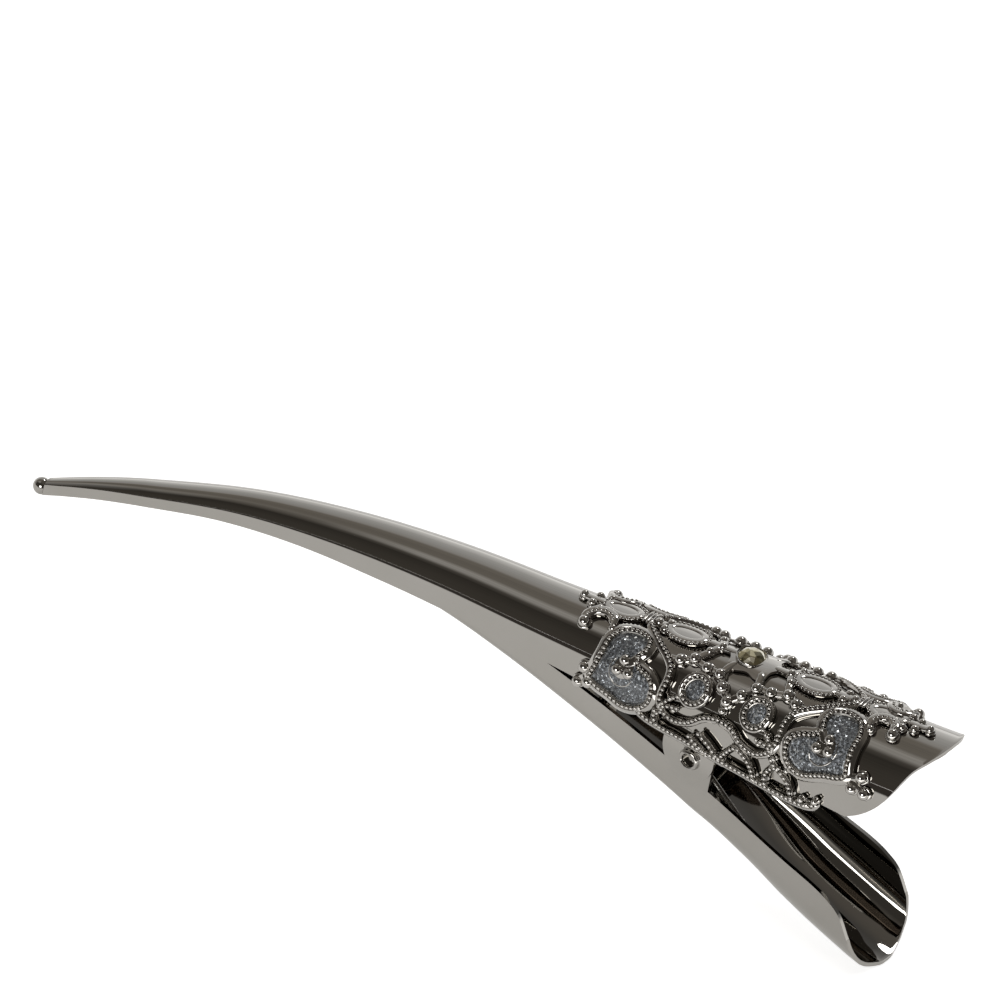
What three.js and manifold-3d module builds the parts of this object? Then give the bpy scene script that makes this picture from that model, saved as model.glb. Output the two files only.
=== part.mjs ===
// A long beak hair clip: a domed upper jaw over a channel-shaped lower jaw, hinged on a cross pin,
// with an openwork ornament wrapped over the rear half of the upper jaw.
// The clip stands on its tip bead and on the rear end of the lower lever.
// X runs from the tip to the rear, Y across, Z up. All lengths are in millimetres.
import * as THREE from "three";
import { mergeVertices } from "three/addons/utils/BufferGeometryUtils.js";
import Module from "manifold-3d";

// Driving sizes
const clip_length = 132.3;
const ridge_height = 34.3;
const upper_half_width = 7.6;
const sheet = 0.55;
const nest_gap = 0.3;
const overrun = 3;
const merge_distance = 0.0001;

// Tip bead
const bead_radius = 1.1;
const bead_sides = 12;

// Upper jaw: places along the clip as shares of its length, ridge heights as shares of the ridge
// height, half widths as shares of the rear half width
const upper_station_shares = [
  [0, 0.061, 0.1],
  [0.1134, 0.297, 0.276],
  [0.2268, 0.489, 0.39],
  [0.3401, 0.624, 0.507],
  [0.4535, 0.716, 0.612],
  [0.5669, 0.777, 0.711],
  [0.6803, 0.84, 0.816],
  [0.8314, 0.914, 0.941],
  [1, 1, 1],
  [1.04, 1.02, 1.008],
];
const upper_edge_shares = [
  [-0.02, -0.02],
  [0.034, 0.076],
  [0.078, 0.156],
  [0.1225, 0.23],
  [0.21, 0.361],
  [0.3, 0.452],
  [0.393, 0.507],
  [0.469, 0.539],
  [0.5835, 0.571],
  [0.66, 0.59],
];
const upper_corner_shares = [0.932, 0.649];
const upper_rim_shares = [
  [0.95, 0.69],
  [0.974, 0.833],
];
const beak_hollow_start = 6;
const dome_steps = 12;
const steps_per_span = 2;
const edge_steps_per_span = 2;

// Cross pin and the lugs that carry it
const pin_place_shares = [0.759, 0.528];
const pin_radius = 0.85;
const pin_running_gap = 0.3;
const pin_dome_height = 0.6;
const pin_sides = 16;
const collar_width = 0.4;
const collar_height = 0.35;
const lug_radius = 3.9;
const lug_lead = 0.5;
const lug_rise = 0.6;

// Lower jaw: place, underside height and wall height, as shares of clip length and ridge height
const lower_station_shares = [
  [0.0605, 0.134, 0.026],
  [0.1134, 0.222, 0.038],
  [0.2268, 0.379, 0.047],
  [0.3401, 0.472, 0.052],
  [0.4157, 0.501, 0.057],
  [0.4573, 0.504, 0.063],
  [0.5057, 0.493, 0.078],
  [0.5782, 0.455, 0.099],
  [0.6772, 0.379, 0.119],
  [0.777, 0.287, 0.13],
  [0.8768, 0.163, 0.146],
];
const lever_end_shares = [0.9524, 0.05];
const lever_length_share = 0.9826;
const lever_rim_shares = [
  [0.9146, 0.265],
  [0.9335, 0.213],
  [0.9486, 0.15],
  [0.9577, 0.093],
];
const lever_lip_shares = [0.972, 0.062];
const lever_half_width = 6.95;
const lever_flare_start_share = 0.79;
const lever_flare_end_share = 0.93;
const tongue_hollow_start = 24;
const bend_radius = 1;
const narrow_bend_share = 0.8;
const inner_bend_share = 0.9;
const bend_steps = 3;
const end_corner_length = 3;
const end_corner_width = 2.5;
const ear_radius = 2.9;

// Spring
const wire_radius = 0.42;
const wire_sides = 5;
const coil_radius = 2.3;
const coil_turns = 5;
const coil_pitch = 1.3;
const steps_per_turn = 8;
const spring_seat_gap = 0.3;
const upper_leg_reach = 9.5;
const lower_leg_reach = 7.5;

// Ornament: its centre, its half length along the clip and its reach down each side, measured
// along the shell from the ridge
const ornament_centre_share = 0.7808;
const ornament_half_length = 25.6;
const ornament_reach = 15.5;
const rail_radius = 0.62;
const rail_lift = 1.15;
const rail_sides = 4;
const rim_width = 0.9;
const chain_neck_radius = 0.5;
const ball_radius = 0.85;
const ball_lift = 1.3;
const floor_lift = 0.4;
const floor_thickness = 0.4;
const cup_lift = 1.7;
const setting_gap = 0.25;
const fill_thickness = 0.45;
const fill_lift = floor_lift + floor_thickness + setting_gap;

// One scrolling rail runs from the middle of a side, round the leaf and over the ridge
const scroll_shares = [
  [0, 0.565],
  [0.08, 0.6],
  [0.165, 0.69],
  [0.245, 0.71],
  [0.32, 0.626],
  [0.344, 0.516],
  [0.34, 0.432],
  [0.355, 0.342],
  [0.406, 0.26],
  [0.492, 0.18],
  [0.59, 0.09],
  [0.605, 0],
];
const ridge_bar_shares = [
  [0.985, 0],
  [0.84, 0],
];
const ridge_link_shares = [
  [0.65, 0],
  [0.42, 0],
];
const neck_start_shares = [0.28, 0];
const end_cell = { centre_shares: [0.75, 0], half_length_share: 0.098, half_width_share: 0.066 };
const mid_cell = { centre_shares: [0.352, 0], half_length_share: 0.086, half_width_share: 0.062 };
const hook_shares = [
  [0.81, 0.045],
  [0.735, 0.19],
  [0.7, 0.25],
];
const curl_shares = [
  [0.735, 0.19],
  [0.79, 0.15],
  [0.84, 0.155],
  [0.868, 0.205],
  [0.85, 0.25],
];
const chain_shares = [
  [0.4, 0.27],
  [0.33, 0.25],
  [0.266, 0.222],
  [0.19, 0.23],
  [0.104, 0.252],
  [0.055, 0.338],
  [0, 0.42],
];
const chain_drop_shares = [
  [0, 0.42],
  [0, 0.565],
];
const stone_arm_shares = [
  [0.04, 0.08],
  [0.104, 0.252],
];
const cluster_arm_shares = [
  [0.2, 0],
  [0.235, 0.1],
  [0.266, 0.222],
];
const cell_arm_shares = [
  [0.15, 0.24],
  [0.165, 0.35],
];
const leaf_arm_shares = [
  [0.2, 0.51],
  [0.26, 0.57],
  [0.32, 0.626],
];
const junction_arm_shares = [
  [0.32, 0.626],
  [0.41, 0.63],
];
const border_shares = [
  [-0.46, 0.71],
  [-0.32, 0.8],
  [-0.19, 0.84],
  [0, 0.868],
  [0.2, 0.92],
  [0.36, 0.96],
  [0.52, 0.992],
  [0.605, 0.99],
  [0.63, 0.91],
];
const diagonal_shares = [
  [-0.13, 0.66],
  [-0.04, 0.77],
  [0.06, 0.88],
];
const front_strut_shares = [
  [-0.32, 0.626],
  [-0.34, 0.72],
  [-0.31, 0.8],
];
const rear_strut_shares = [
  [0.32, 0.626],
  [0.39, 0.73],
  [0.455, 0.82],
  [0.5, 0.985],
];
const rear_window_shares = [
  [0.09, 0.885],
  [0.152, 0.775],
  [0.215, 0.82],
  [0.232, 0.925],
];
const leaf_outline_shares = [
  [0.505, 0.285],
  [0.52, 0.19],
  [0.6, 0.15],
  [0.675, 0.19],
  [0.708, 0.32],
  [0.716, 0.44],
  [0.722, 0.56],
  [0.635, 0.645],
  [0.51, 0.715],
  [0.43, 0.68],
  [0.392, 0.59],
  [0.393, 0.49],
  [0.44, 0.435],
  [0.5, 0.4],
  [0.524, 0.345],
];
const leaf_centre_shares = [0.6, 0.47];
const leaf_island_shares = [0.578, 0.455];
const island_radius = 1.65;
const island_arm_shares = [
  [0.524, 0.36],
  [0.578, 0.455],
];
const leaf_ball_shares = [
  [0.587, 0.4],
  [0.547, 0.482],
  [0.609, 0.482],
];
const outer_ball_shares = [
  [0.807, 0.584],
  [0.771, 0.684],
  [0.845, 0.69],
];
const outer_cluster_shares = [0.807, 0.65];
const cluster_radius = 1.4;
const outer_arm_shares = [[0.73, 0.56], outer_cluster_shares];
const ridge_ball_shares = [
  [0.985, 0],
  [0.53, 0],
  [0.207, 0],
];
const side_ball_shares = [
  [0.92, 0.045],
  [0.48, 0.042],
  [0.235, 0.1],
];
const lobe_ball_shares = [
  [0.55, 0.92],
  [0.6, 0.93],
  [0.63, 0.88],
];
const dot_centre_shares = [0.176, 0.4226];
const dot_cup_radius = 1.35;
const dot_cup_wall = 0.5;
const dot_sides = 10;

// Centre stone
const stone_radius = 1.3;
const stone_girdle_height = 0.5;
const stone_height = 1.35;
const stone_table_share = 0.5;
const stone_facets = 8;
const stone_cup_wall = 0.4;

const gunmetal = new THREE.MeshStandardMaterial({ color: 0x4a4743, metalness: 1, roughness: 0.12 });
const cast_gunmetal = new THREE.MeshStandardMaterial({ color: 0x55524e, metalness: 1, roughness: 0.25 });
const spring_steel = new THREE.MeshStandardMaterial({ color: 0x6b6964, metalness: 1, roughness: 0.3 });
const glitter_enamel = new THREE.MeshStandardMaterial({ color: 0x5c6268, metalness: 0.4, roughness: 0.5 });
const smoky_stone = new THREE.MeshStandardMaterial({ color: 0x8a8260, metalness: 0.1, roughness: 0.08 });

const wasm = await Module();
wasm.setup();

// Solids from geometries and back
function toSolid(geometry) {
  const bare = geometry.clone();
  for (const name of Object.keys(bare.attributes)) {
    if (name !== "position") bare.deleteAttribute(name);
  }
  const merged = mergeVertices(bare, merge_distance);
  const mesh = new wasm.Mesh({
    numProp: 3,
    vertProperties: merged.attributes.position.array,
    triVerts: Uint32Array.from(merged.index.array),
  });
  return new wasm.Manifold(mesh);
}

function toGeometry(solid) {
  const mesh = solid.getMesh();
  const geometry = new THREE.BufferGeometry();
  geometry.setAttribute("position", new THREE.BufferAttribute(mesh.vertProperties, 3));
  geometry.setIndex(new THREE.BufferAttribute(mesh.triVerts, 1));
  geometry.computeVertexNormals();
  return geometry;
}

function joined(solids) {
  return solids.reduce((whole, solid) => whole.add(solid));
}

// A closed geometry from points and triangles, turned so that its faces point out
function closedGeometry(points, triangles) {
  let volume = 0;
  for (let i = 0; i < triangles.length; i += 3) {
    const [a, b, c] = [points[triangles[i]], points[triangles[i + 1]], points[triangles[i + 2]]];
    volume += new THREE.Vector3().crossVectors(b, c).dot(a);
  }
  const facing = volume > 0 ? triangles : [...triangles].reverse();
  const geometry = new THREE.BufferGeometry().setFromPoints(points);
  geometry.setIndex(facing);
  return geometry;
}

// A skin through outlines with the same number of points. It is closed by a fan at each end, or
// by joining its last outline to its first.
function loft(rings, closed = false) {
  const count = rings[0].length;
  const triangles = [];
  for (let i = 0; i < rings.length - (closed ? 0 : 1); i++) {
    const next = ((i + 1) % rings.length) * count;
    for (let j = 0; j < count; j++) {
      const k = (j + 1) % count;
      triangles.push(i * count + j, i * count + k, next + k, i * count + j, next + k, next + j);
    }
  }
  const last = (rings.length - 1) * count;
  for (let j = 1; j + 1 < count && !closed; j++) {
    triangles.push(0, j + 1, j, last, last + j, last + j + 1);
  }
  return closedGeometry(rings.flat(), triangles);
}

// A side view outline pushed through the whole width of the clip
const mask_half_width = upper_half_width + overrun;
function throughWidth(outline) {
  const settings = { depth: 2 * mask_half_width, bevelEnabled: false, curveSegments: pin_sides / 2 };
  const block = new THREE.ExtrudeGeometry(outline, settings);
  block.rotateX(Math.PI / 2);
  block.translate(0, mask_half_width, 0);
  return toSolid(block);
}

function crossCylinder(radius, half_length) {
  const cylinder = new THREE.CylinderGeometry(radius, radius, 2 * half_length, pin_sides);
  cylinder.translate(pin_x, 0, 0);
  cylinder.translate(0, 0, pin_z);
  return toSolid(cylinder);
}

// A smooth run through places of a side view outline
function smoothThrough(outline, places) {
  const run = new THREE.SplineCurve(places);
  const steps = (places.length - 1) * edge_steps_per_span;
  for (const point of run.getPoints(steps)) outline.lineTo(point.x, point.y);
}

const alongAndUp = ([along, up]) => new THREE.Vector2(along * clip_length, up * ridge_height);
const pin_x = pin_place_shares[0] * clip_length;
const pin_z = pin_place_shares[1] * ridge_height;

// The upper jaw's line: place along the clip, half width and ridge height at each station
const upper_line = new THREE.CatmullRomCurve3(
  upper_station_shares.map(
    ([along, up, wide]) =>
      new THREE.Vector3(along * clip_length, wide * upper_half_width, up * ridge_height),
  ),
);

// The point of a line at a given place along the clip
const halvings = 40;
function lineAt(line, x) {
  let low = 0;
  let high = 1;
  for (let i = 0; i < halvings; i++) {
    const middle = (low + high) / 2;
    if (line.getPoint(middle).x < x) low = middle;
    else high = middle;
  }
  return line.getPoint(low);
}

function lineStations(line, from_x) {
  const spans = (line.points.length - 1) * steps_per_span;
  const stations = [];
  for (let i = 0; i <= spans; i++) {
    const station = line.getPoint(i / spans);
    if (station.x >= from_x) stations.push(station);
  }
  if (line.points[0].x < from_x) stations.unshift(lineAt(line, from_x));
  return stations;
}

// Upper jaw section: straight sides under a half round dome
function upperRing(station, inset, skirt) {
  const radius = station.y - inset;
  const spring_z = station.z - station.y;
  const ring = [new THREE.Vector3(station.x, -radius, spring_z - skirt)];
  for (let i = 0; i <= dome_steps; i++) {
    const angle = (Math.PI * i) / dome_steps;
    const y = -radius * Math.cos(angle);
    const z = spring_z + radius * Math.sin(angle);
    ring.push(new THREE.Vector3(station.x, y, z));
  }
  ring.push(new THREE.Vector3(station.x, radius, spring_z - skirt));
  return ring;
}

const lug_x = pin_x - lug_lead;
const lug_z = pin_z + lug_rise;
const upper_skirt = ridge_height / 2;

function upperOutline() {
  const edge = upper_edge_shares.map(alongAndUp);
  const corner = alongAndUp(upper_corner_shares);
  const lug_top = edge[edge.length - 1].y + (corner.y - edge[edge.length - 1].y) / 2;
  const outline = new THREE.Shape();
  outline.moveTo(edge[0].x, ridge_height + overrun);
  smoothThrough(outline, edge);
  outline.lineTo(lug_x - lug_radius, lug_top);
  outline.lineTo(lug_x - lug_radius, lug_z);
  outline.absarc(lug_x, lug_z, lug_radius, Math.PI, 0, false);
  outline.lineTo(lug_x + lug_radius, lug_top);
  const rear_top = new THREE.Vector2(clip_length, ridge_height);
  smoothThrough(outline, [corner, ...upper_rim_shares.map(alongAndUp), rear_top]);
  outline.lineTo(clip_length, ridge_height + overrun);
  outline.closePath();
  return outline;
}

function upperJaw() {
  const body_rings = lineStations(upper_line, 0).map((station) => upperRing(station, 0, upper_skirt));
  const hollow_rings = lineStations(upper_line, beak_hollow_start).map((station) =>
    upperRing(station, sheet, upper_skirt + overrun),
  );
  const bead = new THREE.SphereGeometry(bead_radius, bead_sides, bead_sides / 2);
  bead.rotateX(Math.PI / 2);
  bead.translate(0, 0, bead_radius);
  const shell = toSolid(loft(body_rings))
    .intersect(throughWidth(upperOutline()))
    .add(toSolid(bead));
  const lug_face = lineAt(upper_line, pin_x).y;
  const bore_radius = pin_radius + pin_running_gap;
  return shell
    .add(crossCylinder(bore_radius + collar_width, lug_face + collar_height))
    .subtract(toSolid(loft(hollow_rings)))
    .subtract(crossCylinder(bore_radius, mask_half_width));
}

// Lower jaw: as wide as the upper jaw's hollow allows, flaring behind the pin into the lever
function lowerHalfWidth(x) {
  const nested = lineAt(upper_line, x).y - sheet - nest_gap;
  const from = lever_flare_start_share * clip_length;
  const to = lever_flare_end_share * clip_length;
  const flare = THREE.MathUtils.smoothstep(x, from, to);
  return THREE.MathUtils.lerp(nested, lever_half_width, flare);
}

const lever_end_x = lever_length_share * clip_length;
const lever_end = alongAndUp(lever_end_shares);
const lever_slope = -lever_end.y / (lever_end_x - lever_end.x);
const lower_places = lower_station_shares.map(alongAndUp);
lower_places.push(lever_end, new THREE.Vector2(lever_end_x, 0));
lower_places.push(new THREE.Vector2(lever_end_x + overrun, lever_slope * overrun));
const lower_line = new THREE.CatmullRomCurve3(
  lower_places.map((place) => new THREE.Vector3(place.x, lowerHalfWidth(place.x), place.y)),
);

// Lower jaw section: a channel with bends of one radius
function lowerRing(station, inset, height) {
  const half = station.y - inset;
  const radius = Math.min(bend_radius, station.y * narrow_bend_share) - inset * inner_bend_share;
  const bottom = station.z + inset;
  const ring = [new THREE.Vector3(station.x, -half, station.z + height)];
  for (const side of [-1, 1]) {
    for (let i = 0; i <= bend_steps; i++) {
      const turn = (Math.PI / 2) * (i / bend_steps);
      const angle = side < 0 ? Math.PI + turn : 1.5 * Math.PI + turn;
      const y = side * (half - radius) + radius * Math.cos(angle);
      const z = bottom + radius + radius * Math.sin(angle);
      ring.push(new THREE.Vector3(station.x, y, z));
    }
  }
  ring.push(new THREE.Vector3(station.x, half, station.z + height));
  return ring;
}

const lower_top = lower_station_shares.map(
  ([along, up, wall]) => new THREE.Vector2(along * clip_length, (up + wall) * ridge_height),
);

function lowerOutline() {
  const before_ear = lower_top.filter((place) => place.x < pin_x - ear_radius);
  const after_ear = lower_top.filter((place) => place.x > pin_x + ear_radius);
  const [last, next] = [before_ear[before_ear.length - 1], after_ear[0]];
  const slope = (next.y - last.y) / (next.x - last.x);
  const edgeAt = (x) => last.y + slope * (x - last.x);
  const front_x = pin_x - ear_radius;
  const rear_x = pin_x + ear_radius;
  const lip = alongAndUp(lever_lip_shares);
  const outline = new THREE.Shape();
  outline.moveTo(before_ear[0].x, -overrun);
  smoothThrough(outline, [...before_ear, new THREE.Vector2(front_x, edgeAt(front_x))]);
  outline.lineTo(front_x, pin_z);
  outline.absarc(pin_x, pin_z, ear_radius, Math.PI, 0, true);
  const lever_rim = [...after_ear, ...lever_rim_shares.map(alongAndUp), lip];
  smoothThrough(outline, [new THREE.Vector2(rear_x, edgeAt(rear_x)), ...lever_rim]);
  outline.lineTo(lever_end_x + overrun, lip.y);
  outline.lineTo(lever_end_x + overrun, -overrun);
  outline.closePath();
  return outline;
}

// Plan outline: the lever ends straight across between two rounded corners
function lowerPlan() {
  const corner_x = lever_end_x - end_corner_length;
  const corner_y = lever_half_width - end_corner_width;
  const round = [corner_x, corner_y, end_corner_length, end_corner_width];
  const outline = new THREE.Shape();
  outline.moveTo(-overrun, lever_half_width + overrun);
  outline.lineTo(-overrun, -lever_half_width - overrun);
  outline.lineTo(corner_x, -lever_half_width - overrun);
  outline.lineTo(corner_x, -lever_half_width);
  outline.absellipse(round[0], -round[1], round[2], round[3], -Math.PI / 2, 0, false, 0);
  outline.absellipse(...round, 0, Math.PI / 2, false, 0);
  outline.lineTo(corner_x, lever_half_width + overrun);
  outline.closePath();
  const settings = { depth: ridge_height + overrun, bevelEnabled: false, curveSegments: pin_sides / 2 };
  const block = new THREE.ExtrudeGeometry(outline, settings);
  block.translate(0, 0, -overrun);
  return toSolid(block);
}

function lowerJaw() {
  const wall_height = ridge_height / 3;
  const body_rings = lineStations(lower_line, 0).map((station) => lowerRing(station, 0, wall_height));
  const hollow_rings = lineStations(lower_line, tongue_hollow_start).map((station) =>
    lowerRing(station, sheet, wall_height + overrun),
  );
  return toSolid(loft(body_rings))
    .intersect(throughWidth(lowerOutline()))
    .subtract(toSolid(loft(hollow_rings)))
    .intersect(lowerPlan())
    .subtract(crossCylinder(pin_radius + pin_running_gap, mask_half_width));
}

// Cross pin with a domed head at each end
function crossPin() {
  const half = lineAt(upper_line, pin_x).y + collar_height;
  const profile = [new THREE.Vector2(0, -half - pin_dome_height)];
  const dome_points = 4;
  for (let i = 1; i <= dome_points; i++) {
    const angle = (Math.PI / 2) * (i / dome_points);
    const radius = pin_radius * Math.sin(angle);
    profile.push(new THREE.Vector2(radius, -half - pin_dome_height * Math.cos(angle)));
  }
  const other_end = profile.map((point) => new THREE.Vector2(point.x, -point.y)).reverse();
  const geometry = new THREE.LatheGeometry([...profile, ...other_end], pin_sides);
  geometry.translate(pin_x, 0, 0);
  geometry.translate(0, 0, pin_z);
  return geometry;
}

// Torsion spring: a helix round the pin whose two legs leave it straight, one to each jaw
const spring_half_width = (coil_turns * coil_pitch) / 2;

function upperSeat() {
  const x = pin_x + upper_leg_reach;
  const ridge = lineAt(upper_line, x);
  const seat_radius = ridge.y - sheet - spring_seat_gap - wire_radius;
  const rise = Math.sqrt(seat_radius ** 2 - spring_half_width ** 2);
  return new THREE.Vector3(x, spring_half_width, ridge.z - ridge.y + rise);
}

function lowerSeat() {
  const x = pin_x + lower_leg_reach;
  const floor_z = lineAt(lower_line, x).z + sheet;
  return new THREE.Vector3(x, -spring_half_width, floor_z + spring_seat_gap + 2 * wire_radius);
}

// The angle round the pin at which a straight leg from a seat meets the coil
function meetingAngle(seat, side) {
  const [along, up] = [seat.x - pin_x, seat.z - pin_z];
  return Math.atan2(up, along) + side * Math.acos(coil_radius / Math.hypot(along, up));
}

function springRoute() {
  const [low, high] = [lowerSeat(), upperSeat()];
  const start = meetingAngle(low, -1);
  const sweep = start - meetingAngle(high, 1) + 2 * Math.PI * coil_turns;
  const steps = Math.round((sweep / (2 * Math.PI)) * steps_per_turn);
  const points = [low];
  for (let i = 0; i <= steps; i++) {
    const angle = start - (sweep * i) / steps;
    const x = pin_x + coil_radius * Math.cos(angle);
    const y = THREE.MathUtils.lerp(low.y, high.y, i / steps);
    const z = pin_z + coil_radius * Math.sin(angle);
    points.push(new THREE.Vector3(x, y, z));
  }
  points.push(high);
  return points;
}

function leastGap(points, radius) {
  let least = Infinity;
  for (let i = 0; i < points.length; i++) {
    for (let j = i + steps_per_turn / 2; j < points.length; j++) {
      least = Math.min(least, points[i].distanceTo(points[j]));
    }
  }
  return least - 2 * radius;
}

// A tube through points, with a facing direction and a radius at each point
function tube(points, facings, radii, corners, closed) {
  const count = points.length;
  const rings = points.map((point, i) => {
    const after = closed ? points[(i + 1) % count] : points[Math.min(i + 1, count - 1)];
    const before = closed ? points[(i + count - 1) % count] : points[Math.max(i - 1, 0)];
    const along = after.clone().sub(before).normalize();
    const across = new THREE.Vector3().crossVectors(along, facings[i]).normalize();
    const up = new THREE.Vector3().crossVectors(across, along);
    const ring = [];
    for (let k = 0; k < corners; k++) {
      const angle = (2 * Math.PI * (k + 0.5)) / corners;
      const corner = point.clone().addScaledVector(across, radii[i] * Math.cos(angle));
      ring.push(corner.addScaledVector(up, radii[i] * Math.sin(angle)));
    }
    return ring;
  });
  return loft(rings, closed);
}

function spring() {
  const points = springRoute();
  console.log("spring: least gap to itself", leastGap(points, wire_radius).toFixed(2), "mm");
  const facings = points.map(() => new THREE.Vector3(0, 1, 0));
  const radii = points.map(() => wire_radius);
  return tube(points, facings, radii, wire_sides, false);
}

// Ornament places: shares to a point over the shell, lift being the height above its surface
const ornament_x = ornament_centre_share * clip_length;
function overShell(along_share, down_share, lift) {
  const x = ornament_x + along_share * ornament_half_length;
  const station = lineAt(upper_line, x);
  const arc = Math.abs(down_share) * ornament_reach;
  const quarter = (station.y * Math.PI) / 2;
  const angle = Math.min(arc, quarter) / station.y;
  const drop = Math.max(arc - quarter, 0);
  const radius = station.y + lift;
  const y = -Math.sign(down_share) * radius * Math.sin(angle);
  const z = station.z - station.y + radius * Math.cos(angle) - drop;
  return new THREE.Vector3(x, y, z);
}

function outwardAt(along_share, down_share) {
  const low = overShell(along_share, down_share, 0);
  const high = overShell(along_share, down_share, rail_lift);
  return high.sub(low).normalize();
}

function rail(shares, radius = rail_radius, closed = false) {
  return beadedRail(shares, shares.map(() => radius), closed);
}

function beadedRail(shares, radii, closed) {
  const points = shares.map(([p, q]) => overShell(p, q, rail_lift));
  const facings = shares.map(([p, q]) => outwardAt(p, q));
  return toSolid(tube(points, facings, radii, rail_sides, closed));
}

// A string of balls: the rail swells at each place and narrows half way to the next
function ballChain(shares) {
  const places = [shares[0]];
  const radii = [ball_radius];
  for (let i = 1; i < shares.length; i++) {
    const [before, after] = [shares[i - 1], shares[i]];
    places.push([(before[0] + after[0]) / 2, (before[1] + after[1]) / 2], after);
    radii.push(chain_neck_radius, ball_radius);
  }
  return beadedRail(places, radii, false);
}

function ball([along, down]) {
  return standOnShell(new THREE.OctahedronGeometry(ball_radius, 0), [along, down], ball_lift);
}

// A short cylinder standing on the shell, from one lift to another
function disc([along, down], radius, low_lift, high_lift, sides) {
  const geometry = new THREE.CylinderGeometry(radius, radius, high_lift - low_lift, sides);
  return standOnShell(geometry, [along, down], (low_lift + high_lift) / 2);
}

function standOnShell(geometry, [along, down], lift) {
  const up = new THREE.Vector3(0, 1, 0);
  const turn = new THREE.Quaternion().setFromUnitVectors(up, outwardAt(along, down));
  geometry.applyQuaternion(turn);
  const place = overShell(along, down, lift);
  geometry.translate(place.x, place.y, place.z);
  return toSolid(geometry);
}

// A round cup standing on the shell
function cup(place, inner_radius, wall) {
  const height = cup_lift - floor_lift;
  const profile = [
    new THREE.Vector2(0, 0),
    new THREE.Vector2(inner_radius + wall, 0),
    new THREE.Vector2(inner_radius + wall, height),
    new THREE.Vector2(inner_radius, height),
    new THREE.Vector2(inner_radius, floor_thickness),
    new THREE.Vector2(0, floor_thickness),
  ];
  return standOnShell(new THREE.LatheGeometry(profile, dot_sides), place, floor_lift);
}

// An outline laid over the shell at a lift and drawn in by a distance
function outlineRing(outline, lift, drawn_in) {
  const flat = outline.map(([p, q]) => new THREE.Vector2(p, q));
  const turning = Math.sign(THREE.ShapeUtils.area(flat));
  const points = outline.map(([p, q]) => overShell(p, q, lift));
  const count = points.length;
  return points.map((point, i) => {
    const along = points[(i + 1) % count].clone().sub(points[(i + count - 1) % count]).normalize();
    const inward = new THREE.Vector3().crossVectors(along, outwardAt(...outline[i]));
    return point.clone().addScaledVector(inward, turning * drawn_in);
  });
}

function halfWay(outline, centre, lift) {
  const shrunk = outline.map(([p, q]) => [(p + centre[0]) / 2, (q + centre[1]) / 2]);
  return outlineRing(shrunk, lift, 0);
}

// A closed skin through rings of the same number of points, with a point at each end
function capped(low_point, rings, high_point) {
  const count = rings[0].length;
  const points = [low_point, ...rings.flat(), high_point];
  const triangles = [];
  for (let j = 0; j < count; j++) {
    const k = (j + 1) % count;
    triangles.push(0, 1 + k, 1 + j);
    for (let i = 0; i + 1 < rings.length; i++) {
      const low = 1 + i * count;
      const high = low + count;
      triangles.push(low + j, low + k, high + k, low + j, high + k, high + j);
    }
    const last = 1 + (rings.length - 1) * count;
    triangles.push(last + j, last + k, points.length - 1);
  }
  return toSolid(closedGeometry(points, triangles));
}

// A shallow tray: a thin floor inside a raised rim
function tray(outline, centre) {
  const floor_top = floor_lift + floor_thickness;
  const rim_half = rim_width / 2;
  const rings = [
    halfWay(outline, centre, floor_lift),
    outlineRing(outline, floor_lift, -rim_half),
    outlineRing(outline, cup_lift, -rim_half),
    outlineRing(outline, cup_lift, rim_half),
    outlineRing(outline, floor_top, rim_half),
    halfWay(outline, centre, floor_top),
  ];
  return capped(overShell(...centre, floor_lift), rings, overShell(...centre, floor_top));
}

const mirrored = (shares, end, side) => shares.map(([p, q]) => [end * p, side * q]);
const ends = [-1, 1];
const sides = [-1, 1];

function ovalOutline({ centre_shares, half_length_share, half_width_share }) {
  const outline = [];
  const corners = 10;
  for (let i = 0; i < corners; i++) {
    const angle = (2 * Math.PI * i) / corners;
    const p = centre_shares[0] + half_length_share * Math.cos(angle);
    outline.push([p, centre_shares[1] + half_width_share * Math.sin(angle)]);
  }
  return outline;
}

function leafIsland(end, side, margin) {
  const [centre] = mirrored([leaf_island_shares], end, side);
  const high = fill_lift + fill_thickness;
  return disc(centre, island_radius + margin, floor_lift - margin, high + margin, rail_sides * 2);
}

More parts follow.
